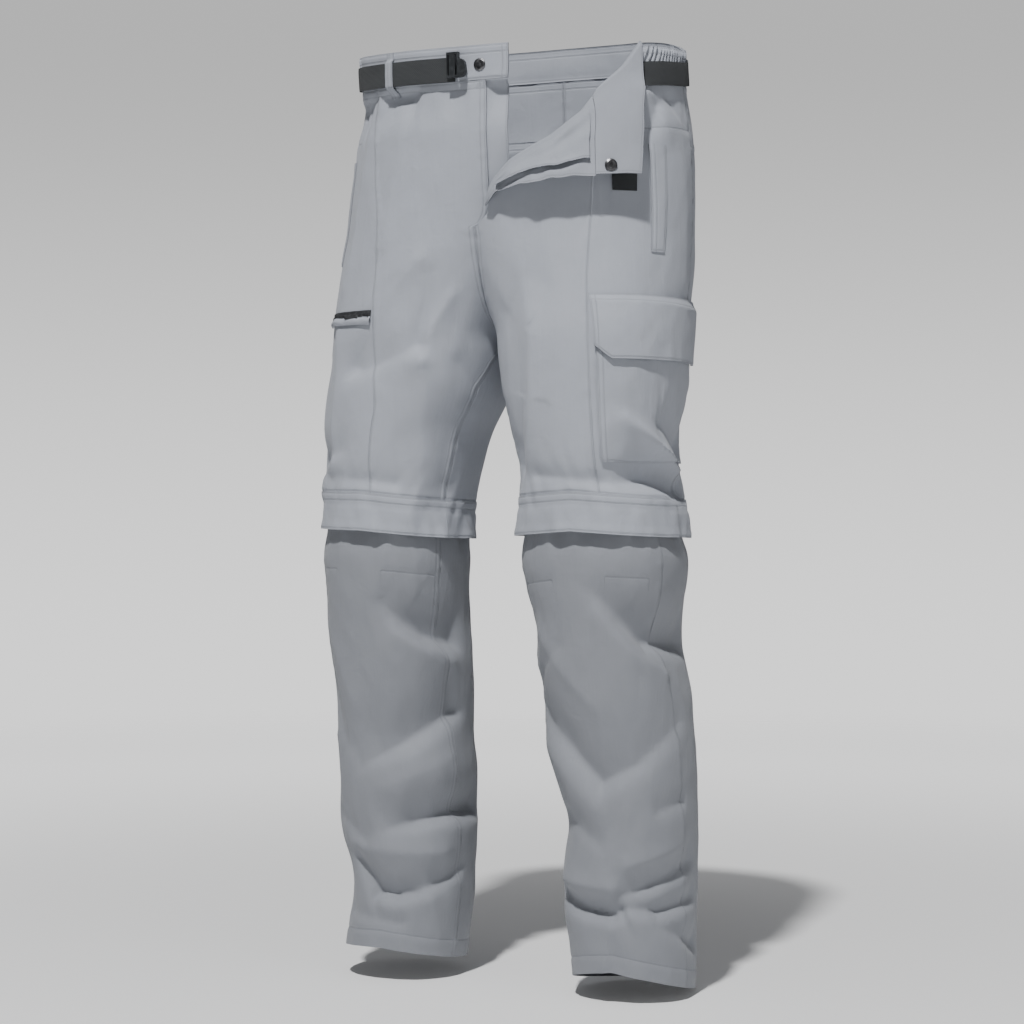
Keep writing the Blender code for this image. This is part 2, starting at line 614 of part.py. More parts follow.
def waistband():
    end = float(angle_at_x("right", np.array(-0.02), -BAND_END_X))
    half = SEAM_HALF * 0.6
    band_piece("waistband_front_right", [("right", end, 62 - half, 10)], cloth_grey)
    band_piece("waistband_elastic_right", [("right", 62 + half, 128 - half, 3 * GATHERS)], cloth_grey, GATHERS)
    band_piece(
        "waistband_back", [("right", 128 + half, 180, 6), ("left", 180, 128 + half, 6)], cloth_grey)
    band_piece(
        "waistband_elastic_left", [("left", 60.8, 128 - half, 3 * GATHERS)], cloth_grey, GATHERS, slant=(60.8, 54.5))


def fly_underlap():
    """The strip behind the right front's fly edge, which tapers at its foot."""
    z = np.array([-0.0518, -0.085, -0.115, -0.145, -0.165, -0.177])[:, None]
    reach = np.array([1, 1, 1, 1, 0.85, 0.55])[:, None]
    u = np.linspace(0, 1, 6)[None, :]
    x = 0.006 + (UNDERLAP_X - 0.006) * reach * u
    z = np.repeat(z, 6, 1)
    angle = angle_at_x("right", z, -x)
    face = cloth("right", "thigh", angle, z, -0.0030)
    lining = cloth("right", "thigh", angle, z, -0.0050)
    wall("fly_underlap_right", face, lining, cloth_grey)


def turned_out(name, columns, thick, radius, lift, material):
    """Cloth that folds over the fold line and hangs in front of the leg, its inner face outward."""
    top, foot = fold_line(columns), along(CORNER_FOOT, columns)
    normal = smooth_normal("left", "thigh", columns, top)
    faces, linings = [], []
    for k in range(4):
        turn = math.radians(60 * k)
        point = cloth("left", "thigh", columns, top, radius - thick - radius * math.cos(turn))
        point[:, 2] += GAP + radius * math.sin(turn)
        away = -math.cos(turn) * normal
        away[:, 2] += math.sin(turn)
        away /= np.linalg.norm(away, axis=-1, keepdims=True)
        faces.append(point)
        linings.append(point - away * thick)
    for k in range(6):
        share = (k + 1) / 6
        z = top * (1 - share) + foot * share
        seam, edge = along(CORNER_SEAM, z), along(CORNER_EDGE, z)
        on_cloth = columns + (seam - 40) * (columns + 9) / 49
        on_band = seam + (edge - seam) * (columns - 40) / 20.5
        blend = min(1.0, share * 2)
        places = columns * (1 - blend) + np.where(columns < 40, on_cloth, on_band) * blend
        out = 2 * radius - thick + lift * share
        faces.append(cloth("left", "thigh", places, z, out))
        linings.append(cloth("left", "thigh", places, z, out - thick))
    return wall(name, np.array(faces), np.array(linings), material)


def folded_corner():
    """The left front's top corner and the waistband end that hangs down its side."""
    known = sorted(angle for angle in fold_angles if -9 < angle < 39)
    columns = np.array([-9.0] + known + [40 - SEAM_HALF])
    columns = columns[np.append(np.diff(columns) > 0.5, True)]
    turned_out("front_corner_left", columns, CLOTH, 0.0038, corner_lift(columns), cloth_inner)
    known = sorted(angle for angle in fold_angles if 41 < angle < 60)
    columns = np.array([40 + SEAM_HALF] + known + [60.2])
    turned_out("waistband_front_left", columns, 0.0026, 0.0048, CORNER_LIFT, cloth_inner)
    share, u = np.meshgrid(np.linspace(0, 1, 5), np.linspace(0, 1, 7), indexing="ij")
    columns = 2 + 36 * u
    top, foot = fold_line(columns) - 0.006, along(FACING_FOOT, columns)
    z = top * (1 - share) + foot * share
    down = np.clip((fold_line(columns) - z) / (fold_line(columns) - along(CORNER_FOOT, columns)), 0, 1)
    corner_out = 0.0062 + corner_lift(columns) * down
    places = columns + (along(CORNER_SEAM, z) - 40) * (columns + 9) / 49 * np.minimum(1, down * 2)
    out = corner_out + 0.0012 + 0.0022 * share
    face = cloth("left", "thigh", places, z, out + 0.0010)
    lining = cloth("left", "thigh", places, z, out)
    wall("fly_facing_left", face, lining, cloth_inner)


# Pockets
def hand_pockets():
    for side in ("left", "right"):
        z, u = np.meshgrid(np.linspace(-0.1205, -0.236, 6), np.array([0.0, 0.5, 1.0]), indexing="ij")
        start = np.interp(-z, [0.10, 0.236], [61, 59.5])
        end = np.interp(-z, [0.10, 0.236], [70.5, 68.5])
        angle = start + (end - start) * u
        face = on_panel(side, angle, z, 0.0022)
        lining = on_panel(side, angle, z, 0.0005)
        wall(f"hand_pocket_welt_{side}", face, lining, cloth_grey)


CARGO_FRONT, CARGO_BACK = 25.0, 117.0


def cargo_swell(angle, z):
    """How far the cargo pocket stands off the thigh: most at its middle."""
    across = np.clip((angle - CARGO_FRONT) / (CARGO_BACK - CARGO_FRONT), 0, 1)
    down = np.clip((-0.286 - z) / 0.17, 0, 1)
    return 0.0030 * np.sin(math.pi * across) ** 0.5 * np.sin(math.pi * (0.12 + 0.80 * down))


def cargo_pocket():
    angle, z = np.meshgrid(np.linspace(CARGO_FRONT + 1.0, CARGO_BACK - 1.0, 9), np.linspace(-0.2935, -0.458, 9))
    out = 0.0019 + cargo_swell(angle, z)
    face = on_panel("left", angle, z, out + CLOTH)
    lining = on_panel("left", angle, z, out)
    wall("cargo_pocket_left", face, lining, cloth_grey)
    u, t = np.meshgrid(np.linspace(0, 1, 9), np.linspace(0, 1, 5))
    angle = CARGO_FRONT + (CARGO_BACK - CARGO_FRONT) * u
    corner = 0.014 * np.clip(1 - (angle - CARGO_FRONT) / 9.0, 0, 1)
    z = -0.282 - (0.069 - corner) * np.array([0, 0.14, 0.42, 0.7, 1.0])[:, None] * np.ones_like(t)
    over_pocket = 0.0019 + CLOTH + 0.0012 + cargo_swell(angle, z)
    under = np.where(t == 0, 0.0010, over_pocket)
    face = on_panel("left", angle, z, under + 0.0018)
    lining = on_panel("left", angle, z, under)
    wall("cargo_flap_left", face, lining, cloth_grey)


ZIP_Z = -0.2975
ZIP_START, ZIP_END = 17.0, 58.0
SLIDER_ANGLE = 24.0


def thigh_zip():
    """The right thigh pocket's zip, its slider and the pull tab that swings on the slider."""
    angle, z = np.meshgrid(np.linspace(ZIP_START, ZIP_END, 8), np.array([ZIP_Z + 0.0065, ZIP_Z, ZIP_Z - 0.0065]))
    ridge = np.where(z == ZIP_Z, 0.0012, 0.0)
    face = on_panel("right", angle, z, 0.0018 + ridge)
    lining = on_panel("right", angle, z, 0.0009)
    wall("thigh_zip_tape", face, lining, zip_dark)
    place = frame_on("right", "thigh", SLIDER_ANGLE, ZIP_Z, 0.0034)
    block("thigh_zip_slider", (0.0095, 0.0070, 0.0022), place, zip_dark, 0.0008)
    tab_place = frame_on("right", "thigh", SLIDER_ANGLE, ZIP_Z, 0.0060) @ Matrix.Translation((-0.0115, 0, 0))
    block("thigh_zip_pull", (0.0210, 0.0050, 0.0012), tab_place, zip_dark, 0.0004)


# Belt and small parts
def belt_height(side, angle):
    """The belt's middle: on the waistband, but dropped on the left where the fly pulls it down."""
    level = waist_top(side, angle) - 0.0245
    if side == "left":
        level = level - 0.006 * np.clip((110 - angle) / 50, 0, 1)
    return level


def belt():
    faces, linings = [], []
    for side, start, end, cols in (("right", 5.5, 180, 27), ("left", 180, 58.5, 20)):
        angle = np.linspace(start, end, cols + 1)[(1 if side == "left" else 0):]
        middle = belt_height(side, angle)
        span = np.array([0.5, -0.5])[:, None] * WEBBING_WIDTH
        z = middle[None, :] + span
        places = np.repeat(angle[None, :], 2, 0)
        faces.append(cloth(side, "thigh", places, z, BELT_OUT + WEBBING))
        linings.append(cloth(side, "thigh", places, z, BELT_OUT))
    wall("belt", np.concatenate(faces, 1), np.concatenate(linings, 1), webbing)
    share = np.linspace(0, 1, 6)[:, None]
    u = np.array([0.0, 0.5, 1.0])[None, :]
    z = np.repeat(-0.0660 - 0.106 * share, 3, 1)
    start = 46.5 - 4.0 * share
    angle = start + 10.5 * u
    face = cloth("left", "thigh", angle, z, 0.0006 + WEBBING)
    lining = cloth("left", "thigh", angle, z, 0.0006)
    wall("belt_tail", face, lining, webbing)


def buckle():
    """The buckle's plug half on the belt's end: a slotted bar and a rounded nose."""
    out = BELT_OUT + WEBBING + GAP
    place = frame_on("right", "thigh", 4.4, float(belt_height("right", 4.4)), out)
    outline = (
        (-11.0, -9.5), (2.9, -9.5), (8.0, -9.0), (10.2, -7.0), (11.1, -3.5), (11.1, 3.0), (10.0, 7.0), (7.5, 9.6),
    )
    outline += ((2.9, 10.5), (2.9, 17.5), (-11.0, 17.5))
    bm = bmesh.new()
    face = bm.faces.new([bm.verts.new((x / 1000, y / 1000, 0)) for x, y in outline])
    grown = bmesh.ops.extrude_face_region(bm, geom=[face])["geom"]
    bmesh.ops.translate(bm, vec=(0, 0, 0.0050), verts=[v for v in grown if isinstance(v, bmesh.types.BMVert)])
    bmesh.ops.recalc_face_normals(bm, faces=bm.faces)
    mesh = bpy.data.meshes.new("belt_buckle")
    bm.to_mesh(mesh)
    bm.free()
    made = add_object("belt_buckle", mesh, plastic)
    made.matrix_world = place
    cut_window(made, (0.0016, 0.0220, 0.03), (-0.0086, 0.0040, 0), place)
    cut_window(made, (0.0024, 0.0220, 0.03), (0.0006, 0.0040, 0), place)


def belt_loops():
    for name, side, centre in (
        ("belt_loop_front_right", "right", 34.0),
        ("belt_loop_back_right", "right", 146.0),
        ("belt_loop_back_left", "left", 146.0),
    ):
        half = math.degrees(LOOP_WIDTH / 2 / 0.150)
        angle = np.array([centre - half, centre + half])[None, :]
        top = waist_top(side, centre)
        over = BELT_OUT + WEBBING + GAP
        path = ((-0.001, 0.0013), (-0.0088, 0.0016), (-0.0102, over), (-0.0245, over + 0.0006))
        path += ((-0.0388, over), (-0.0402, 0.0016), (-0.0490, 0.0013))
        z = np.repeat(np.array([[top + step] for step, _ in path]), 2, 1)
        out = np.repeat(np.array([[reach] for _, reach in path]), 2, 1)
        face = cloth(side, "thigh", np.repeat(angle, len(path), 0), z, out + 0.0012)
        lining = cloth(side, "thigh", np.repeat(angle, len(path), 0), z, out)
        wall(name, face, lining, cloth_grey)


def snaps():
    """The stud on the right front and the socket on the turned-out waistband end."""
    middle = float(angle_at_x("right", np.array(-0.035), -0.011))
    place = frame_on("right", "thigh", middle, -0.035, BAND_OUT + GAP)
    r = SNAP_RADIUS
    stud = (
        (0, 0.0034), (0.0019, 0.0032), (0.0022, 0.0026), (0.0019, 0.0014),
        (r * 0.75, 0.0013), (r, 0.0006), (r, 0), (0, 0),
    )
    turned("snap_stud_right", stud, place, metal)
    place = frame_on("left", "thigh", 41.5, -0.151, 0.0184 + 0.87 * (CORNER_LIFT - 0.0105))
    socket = ((0, 0.0006), (0.0022, 0.0006), (0.0024, 0.0018), (r * 0.7, 0.0019), (r, 0.0008), (r, 0), (0, 0))
    turned("snap_socket_left", socket, place, metal)


for old in list(bpy.data.objects):
    bpy.data.objects.remove(old)
fold_angles = []
collection = bpy.data.collections.new("convertible_trousers")
bpy.context.scene.collection.children.link(collection)
cutters = bpy.data.collections.new("cutters")
bpy.context.scene.collection.children.link(cutters)

cloth_grey = make_material("cloth_grey", (0.40, 0.42, 0.45), 0.72)
cloth_inner = make_material("cloth_inner", (0.36, 0.38, 0.41), 0.78)
webbing = make_material("webbing_dark", (0.035, 0.037, 0.040), 0.75)
plastic = make_material("plastic_dark", (0.030, 0.032, 0.035), 0.40)
metal = make_material("metal_dark", (0.13, 0.13, 0.13), 0.35, 0.9)
zip_dark = make_material("zip_dark", (0.05, 0.05, 0.055), 0.55)

body_panels()
knee_pieces()
lower_legs()
waistband()
fly_underlap()
folded_corner()
hand_pockets()
cargo_pocket()
thigh_zip()
belt()
buckle()
belt_loops()
snaps()
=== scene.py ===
import math

import bpy
import numpy as np
from mathutils import Matrix, Vector


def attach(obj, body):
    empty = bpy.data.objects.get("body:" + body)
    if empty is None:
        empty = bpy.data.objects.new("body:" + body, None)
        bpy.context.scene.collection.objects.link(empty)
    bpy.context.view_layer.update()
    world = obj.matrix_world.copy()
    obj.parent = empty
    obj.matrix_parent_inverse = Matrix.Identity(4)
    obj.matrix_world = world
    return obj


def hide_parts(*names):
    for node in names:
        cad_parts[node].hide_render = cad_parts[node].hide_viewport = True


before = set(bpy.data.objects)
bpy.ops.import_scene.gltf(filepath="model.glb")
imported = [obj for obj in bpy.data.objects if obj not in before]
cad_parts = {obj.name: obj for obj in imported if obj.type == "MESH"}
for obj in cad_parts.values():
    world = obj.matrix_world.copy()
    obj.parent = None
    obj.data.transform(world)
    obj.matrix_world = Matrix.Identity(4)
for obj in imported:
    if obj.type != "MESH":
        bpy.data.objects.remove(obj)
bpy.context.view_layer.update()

rootBody = "trousers"

# a place on the cloth: side, part (thigh or shin), angle (0 front, 90 outer side, 180 back, -90 inner) and height
# rows from the top: height, half depth in front and behind, then for the left and the right leg its centre x,
# centre y and half width, or half width outward and inward where they differ
sections = {
    "thigh": (
        (0.035, 0.128, 0.128, (0.000, 0.000, 0.187), (0.000, 0.000, 0.183)),
        (0.000, 0.128, 0.128, (0.000, 0.000, 0.188), (0.000, 0.000, 0.183)),
        (-0.050, 0.127, 0.131, (0.000, 0.000, 0.190), (0.000, 0.000, 0.181)),
        (-0.100, 0.125, 0.136, (0.008, -0.002, 0.189, 0.172), (0.008, -0.002, 0.179, 0.163)),
        (-0.150, 0.120, 0.141, (0.025, -0.005, 0.175, 0.146), (0.025, -0.005, 0.166, 0.139)),
        (-0.200, 0.114, 0.143, (0.046, -0.010, 0.155, 0.122), (0.046, -0.010, 0.149, 0.119)),
        (-0.250, 0.107, 0.143, (0.069, -0.020, 0.132, 0.105), (0.069, -0.018, 0.131, 0.1045)),
        (-0.290, 0.103, 0.139, (0.086, -0.029, 0.114, 0.0985), (0.086, -0.024, 0.117, 0.0985)),
        (-0.315, 0.101, 0.135, (0.095, -0.035, 0.105, 0.0948), (0.095, -0.028, 0.108, 0.0948)),
        (-0.340, 0.100, 0.128, (0.100, -0.037, 0.099, 0.0965), (0.103, -0.028, 0.100, 0.0995)),
        (-0.380, 0.098, 0.117, (0.104, -0.039, 0.094), (0.112, -0.029, 0.096, 0.098)),
        (-0.420, 0.096, 0.108, (0.108, -0.040, 0.088), (0.123, -0.030, 0.091, 0.090)),
        (-0.460, 0.092, 0.101, (0.113, -0.042, 0.083), (0.130, -0.032, 0.087)),
        (-0.490, 0.090, 0.098, (0.116, -0.042, 0.087), (0.132, -0.032, 0.082)),
        (-0.555, 0.088, 0.095, (0.118, -0.042, 0.088), (0.133, -0.032, 0.080)),
    ),
    "shin": (
        (-0.500, 0.082, 0.088, (0.117, -0.042, 0.082), (0.133, -0.032, 0.077)),
        (-0.535, 0.083, 0.089, (0.118, -0.042, 0.084), (0.134, -0.032, 0.077)),
        (-0.555, 0.085, 0.090, (0.119, -0.042, 0.088), (0.135, -0.032, 0.079)),
        (-0.590, 0.085, 0.090, (0.121, -0.040, 0.084), (0.136, -0.029, 0.077)),
        (-0.630, 0.083, 0.088, (0.123, -0.037, 0.076), (0.137, -0.024, 0.077)),
        (-0.670, 0.082, 0.087, (0.124, -0.034, 0.077), (0.135, -0.020, 0.077)),
        (-0.710, 0.081, 0.086, (0.128, -0.029, 0.079), (0.134, -0.015, 0.075)),
        (-0.760, 0.080, 0.085, (0.132, -0.022, 0.077), (0.136, -0.008, 0.073)),
        (-0.810, 0.078, 0.083, (0.137, -0.016, 0.072), (0.135, -0.002, 0.075)),
        (-0.850, 0.076, 0.080, (0.141, -0.011, 0.068), (0.137, 0.003, 0.076)),
        (-0.875, 0.075, 0.079, (0.138, -0.009, 0.070), (0.137, 0.005, 0.074)),
        (-0.910, 0.075, 0.079, (0.135, -0.006, 0.071), (0.134, 0.008, 0.067)),
        (-0.940, 0.074, 0.078, (0.135, -0.004, 0.070), (0.135, 0.010, 0.066)),
        (-0.970, 0.072, 0.077, (0.136, -0.002, 0.068), (0.140, 0.012, 0.067)),
        (-1.000, 0.071, 0.076, (0.137, 0.000, 0.066), (0.145, 0.014, 0.067)),
        (-1.035, 0.069, 0.074, (0.137, 0.000, 0.063), (0.149, 0.014, 0.064)),
    ),
}

# folds: half width above and below the crease, then its points as angle, height and rise
# minus is a trough; a wide side slopes slowly into the crease and a narrow one comes back out of it sharply
folds = {
    ("left", "thigh"): (
        (0.014, 0.010, (-8, -0.255, 0.0032), (-20, -0.390, 0.0064), (-34, -0.452, 0.0032)),
        (0.012, 0.012, (-30, -0.400, -0.0032), (-52, -0.462, -0.0064)),
        (0.007, 0.008, (44, -0.414, 0.0048), (68, -0.442, 0.0152), (102, -0.466, 0.0112)),
        (0.026, 0.010, (24, -0.480, -0.0064), (60, -0.474, -0.0216), (100, -0.486, -0.016)),
        (0.034, 0.006, (72, -0.418, -0.0072), (106, -0.446, -0.0128)),
        (0.030, 0.012, (150, -0.330, -0.0042), (190, -0.318, -0.0063), (225, -0.300, -0.0055)),
        (0.026, 0.010, (140, -0.440, -0.0038), (185, -0.452, -0.0059), (230, -0.455, -0.0046)),
        (0.012, 0.020, (-6, -0.262, -0.0042), (-30, -0.300, -0.0035)),
        (0.012, 0.012, (12, -0.235, 0.0022), (2, -0.345, 0.0019)),
        (0.010, 0.007, (23, -0.478, -0.0038), (-30, -0.472, -0.0048)),
        (0.016, 0.020, (140, -0.160, 0.0016), (165, -0.290, 0.002)),
        (0.012, 0.018, (120, -0.370, 0.0025), (175, -0.345, 0.0025)),
        (0.006, 0.008, (62, -0.068, 0.0059), (74, -0.110, 0.0013)),
        (0.009, 0.006, (68, -0.078, -0.0065), (58, -0.125, -0.002)),
        (0.010, 0.006, (78, -0.070, -0.0052), (90, -0.096, -0.002)),
        (0.012, 0.012, (84, -0.140, 0.0021), (92, -0.262, 0.0026)),
        (0.012, 0.007, (150, -0.090, -0.0027), (176, -0.105, -0.0014)),
        (0.012, 0.008, (160, -0.135, 0.0024), (182, -0.122, 0.0014)),
    ),
    ("right", "thigh"): (
        (0.010, 0.020, (6, -0.250, -0.0006), (24, -0.350, -0.0088)),
        (0.032, 0.008, (24, -0.358, -0.0030), (6, -0.350, -0.0062), (-14, -0.338, -0.0020)),
        (0.010, 0.010, (0, -0.240, 0.0035), (12, -0.300, 0.0026)),
        (0.006, 0.010, (-12, -0.255, -0.002), (-22, -0.330, -0.0096)),
        (0.008, 0.008, (-30, -0.280, 0.0032), (-24, -0.345, 0.0048)),
        (0.026, 0.010, (62, -0.454, -0.0128), (24, -0.442, -0.0048)),
        (0.020, 0.014, (-26, -0.352, 0.0072), (-42, -0.450, 0.0048)),
        (0.030, 0.012, (145, -0.325, -0.0042), (190, -0.322, -0.0063), (230, -0.305, -0.0055)),
        (0.026, 0.010, (135, -0.450, -0.0038), (180, -0.446, -0.0059), (225, -0.435, -0.0046)),
        (0.006, 0.008, (48, -0.070, 0.0026), (46, -0.262, 0.0019)),
        (0.006, 0.006, (54, -0.066, -0.0039), (50, -0.120, -0.0016)),
        (0.006, 0.008, (62, -0.066, -0.0044), (60, -0.110, -0.0016)),
        (0.010, 0.014, (28, -0.075, 0.0018), (22, -0.215, 0.0022)),
        (0.006, 0.010, (44, -0.300, 0.0035), (34, -0.455, 0.0019)),
        (0.009, 0.009, (66, -0.335, 0.0029), (60, -0.440, 0.0029)),
        (0.012, 0.007, (66, -0.462, -0.0038), (34, -0.476, -0.0042)),
        (0.012, 0.010, (-50, -0.350, -0.0035), (-64, -0.372, -0.0035)),
        (0.012, 0.007, (24, -0.472, -0.0026), (-24, -0.480, -0.0042)),
        (0.016, 0.020, (140, -0.170, 0.0015), (168, -0.285, 0.0018)),
        (0.012, 0.018, (115, -0.375, 0.0025), (170, -0.350, 0.0025)),
        (0.012, 0.007, (172, -0.085, -0.0027), (150, -0.098, -0.0014)),
        (0.012, 0.008, (178, -0.140, 0.0021), (156, -0.118, 0.0021)),
    ),
    ("left", "shin"): (
        (0.030, 0.009, (12, -0.594, -0.0037), (32, -0.624, -0.0137), (54, -0.648, -0.0175), (104, -0.652, -0.015)),
        (0.006, 0.018, (16, -0.614, 0.0025), (40, -0.655, 0.0056), (66, -0.680, 0.005)),
        (0.044, 0.009, (-64, -0.722, -0.0063), (-30, -0.762, -0.0137), (-2, -0.798, -0.0163), (34, -0.776, -0.01),
         (78, -0.730, -0.0037)),
        (0.012, 0.030, (-56, -0.760, 0.0037), (-8, -0.824, 0.0031)),
        (0.026, 0.008, (15, -0.916, -0.0075), (42, -0.907, -0.0131), (88, -0.886, -0.0075)),
        (0.010, 0.010, (20, -0.884, 0.0035), (66, -0.866, 0.0025)),
        (0.018, 0.006, (-62, -0.922, -0.0075), (-30, -0.935, -0.015), (6, -0.940, -0.015), (17, -0.930, -0.0075),
         (48, -0.936, -0.0137), (94, -0.926, -0.0063)),
        (0.012, 0.008, (-54, -0.906, 0.005), (8, -0.910, 0.0044)),
        (0.005, 0.005, (15, -0.936, -0.0063), (21, -0.955, -0.0025)),
        (0.012, 0.006, (6, -0.946, 0.0025), (-6, -0.998, 0.0032)),
        (0.016, 0.007, (46, -0.950, -0.0037), (98, -0.978, -0.0081)),
        (0.030, 0.011, (130, -0.600, -0.0043), (180, -0.612, -0.007), (225, -0.615, -0.0055)),
        (0.034, 0.012, (120, -0.735, -0.0023), (190, -0.770, -0.0059)),
        (0.024, 0.010, (125, -0.850, -0.0039), (170, -0.868, -0.0062), (215, -0.870, -0.0051)),
        (0.020, 0.007, (140, -0.925, -0.0059), (250, -0.930, -0.0062)),
        (0.016, 0.010, (-45, -0.640, 0.0032), (2, -0.712, 0.0025)),
        (0.012, 0.010, (-64, -0.694, -0.003), (-24, -0.655, -0.0025)),
        (0.018, 0.008, (-50, -0.835, -0.003), (-8, -0.862, -0.003)),
        (0.014, 0.006, (48, -0.826, -0.0037), (74, -0.818, -0.0045)),
    ),
    ("right", "shin"): (
        (0.034, 0.009, (-18, -0.612, -0.005), (-32, -0.632, -0.0125), (-50, -0.646, -0.0169), (-80, -0.654, -0.0137)),
        (0.008, 0.020, (-26, -0.642, 0.0037), (-72, -0.676, 0.0056)),
        (0.056, 0.009, (16, -0.790, -0.005), (-4, -0.778, -0.0125), (-34, -0.762, -0.0169), (-80, -0.732, -0.0137)),
        (0.012, 0.030, (-6, -0.814, 0.0035), (-66, -0.784, 0.0037)),
        (0.028, 0.007, (-8, -0.860, -0.005), (-30, -0.855, -0.0144), (-62, -0.846, -0.0169), (-108, -0.846, -0.015)),
        (0.022, 0.006, (32, -0.900, -0.0075), (12, -0.934, -0.0156), (-8, -0.938, -0.0169), (-30, -0.934, -0.0131),
         (-56, -0.922, -0.0088), (-84, -0.908, -0.0037)),
        (0.012, 0.014, (22, -0.882, 0.0045), (-56, -0.888, 0.0045)),
        (0.030, 0.011, (130, -0.615, -0.0043), (175, -0.612, -0.007), (225, -0.600, -0.0055)),
        (0.034, 0.012, (118, -0.752, -0.0023), (188, -0.730, -0.0059)),
        (0.024, 0.010, (125, -0.870, -0.0039), (172, -0.866, -0.0062), (220, -0.850, -0.0051)),
        (0.020, 0.007, (110, -0.930, -0.0094), (235, -0.925, -0.0062)),
        (0.014, 0.012, (44, -0.640, 0.0028), (22, -0.720, 0.0025)),
        (0.006, 0.010, (48, -0.760, 0.0028), (42, -0.860, 0.0018)),
        (0.012, 0.010, (55, -0.705, -0.003), (30, -0.770, -0.0028)),
        (0.018, 0.007, (50, -0.850, -0.0037), (16, -0.876, -0.0045)),
        (0.005, 0.005, (14, -0.940, -0.005), (8, -0.956, -0.0025)),
        (0.012, 0.010, (-40, -0.932, 0.0028), (-58, -0.985, 0.002)),
        (0.012, 0.007, (46, -0.958, -0.003), (-20, -0.968, -0.0032)),
    ),
}
metresPerDegree = 0.0016

# seams, angle by height
frontSeams = {
    "left": ((0.0, 44), (-0.083, 39), (-0.15, 36.5), (-0.20, 32.5), (-0.265, 26), (-0.33, 22), (-0.56, 21)),
    "right": ((0.0, 44), (-0.083, 44), (-0.15, 37), (-0.20, 29), (-0.265, 20), (-0.33, 12), (-0.40, -1), (-0.56, -8)),
}
sideSeam = ((0.0, 93), (-0.10, 96), (-0.36, 101), (-0.56, 104))
inseam = ((-0.315, -90), (-0.325, -85), (-0.345, -75), (-0.375, -67), (-0.42, -65), (-0.56, -66))
shinSeam = ((-0.49, 64), (-0.57, 65), (-0.64, 66), (-0.72, 73), (-0.83, 74), (-0.91, 80), (-1.04, 80))

# the left front corner that is folded out, height by angle and angle by height
foldLineAt = ((60.5, -0.0155), (52, -0.045), (43, -0.066), (35, -0.093), (24, -0.117), (8, -0.141), (-4, -0.168),
              (-12, -0.193), (-25, -0.2085))
cornerSeam = ((-0.07, 40.5), (-0.086, 40), (-0.162, 36))
cornerEdge = ((-0.0155, 60.5), (-0.108, 56), (-0.158, 52))
facingFoot = ((0, -0.1655), (12, -0.157), (24, -0.150), (38, -0.143))
cornerFoot = ((-9, -0.1845), (-4, -0.178), (1, -0.1715), (12, -0.167), (24, -0.164), (36, -0.161), (53, -0.159))

cut = {"gap": 0.0003, "cloth": 0.0011, "step": 0.0034, "crotchZ": -0.315, "kneeZ": -0.489, "flyFoot": -0.205,
       "flyReach": 0.017, "bandHeight": 0.037, "kneeFlap": 0.041, "hem": 0.0195, "squareness": 2.15}


def readTable(table, value):
    rows = sorted(table)
    return np.interp(value, [row[0] for row in rows], [row[1] for row in rows])


def ease(value, low, high):
    t = np.clip((np.asarray(value, float) - low) / (high - low), 0, 1)
    return t * t * (3 - 2 * t)


def softNoise(x, y, seed):
    # smooth seeded lattice noise, about -1 to 1
    lattice = np.random.default_rng(seed).uniform(-1, 1, (64, 64))
    x, y = np.broadcast_arrays(np.asarray(x, float), np.asarray(y, float))
    i, j = np.floor(x).astype(int), np.floor(y).astype(int)
    s, t = x - i, y - j
    s, t = s * s * (3 - 2 * s), t * t * (3 - 2 * t)
    a, b = lattice[i % 64, j % 64], lattice[(i + 1) % 64, j % 64]
    c, d = lattice[i % 64, (j + 1) % 64], lattice[(i + 1) % 64, (j + 1) % 64]
    return (a * (1 - s) + b * s) * (1 - t) + (c * (1 - s) + d * s) * t


def hump(distance, half):
    return np.exp(-((distance / half) ** 2))


def sectionRows(side, part):
    for height, front, back, *legs in reversed(sections[part]):
        x, y, *widths = legs[side == "right"]
        yield height, x, y, widths[0], widths[-1], front, back


def sectionAt(side, part, z):
    rows = np.array(list(sectionRows(side, part)))
    heights, values = rows[:, 0], rows[:, 1:]
    slopes = np.gradient(values, heights, axis=0)
    z = np.clip(np.asarray(z, float), heights[0], heights[-1])
    k = np.clip(np.searchsorted(heights, z) - 1, 0, len(heights) - 2)
    step = (heights[k + 1] - heights[k])[..., None]
    t = (z - heights[k])[..., None] / step
    start = (2 * t**3 - 3 * t**2 + 1) * values[k] + (t**3 - 2 * t**2 + t) * step * slopes[k]
    end = (3 * t**2 - 2 * t**3) * values[k + 1] + (t**3 - t**2) * step * slopes[k + 1]
    return np.moveaxis(start + end, -1, 0)


def formPoint(side, part, angle, z):
    angle, z = np.broadcast_arrays(np.asarray(angle, float), np.asarray(z, float))
    cx, cy, outer, inner, front, back = sectionAt(side, part, z)
    s, c = np.sin(np.radians(angle)), np.cos(np.radians(angle))
    reach = (np.abs(s) ** cut["squareness"] + np.abs(c) ** cut["squareness"]) ** (-1 / cut["squareness"])
    x = cx + np.where(s > 0, outer, inner) * s * reach
    y = cy - np.where(c > 0, front, back) * c * reach
    return np.stack([x if side == "left" else -x, y, z], -1)


def formNormal(side, part, angle, z):
    roundLeg = formPoint(side, part, angle + 0.5, z) - formPoint(side, part, angle - 0.5, z)
    upLeg = formPoint(side, part, angle, z + 0.001) - formPoint(side, part, angle, z - 0.001)
    normal = np.cross(roundLeg, upLeg)
    normal /= np.linalg.norm(normal, axis=-1, keepdims=True)
    return normal if side == "left" else -normal


def lineRun(a0, z0, a1, z1):
    run, drop = (a1 - a0) * metresPerDegree, z1 - z0
    return run, drop, math.hypot(run, drop)


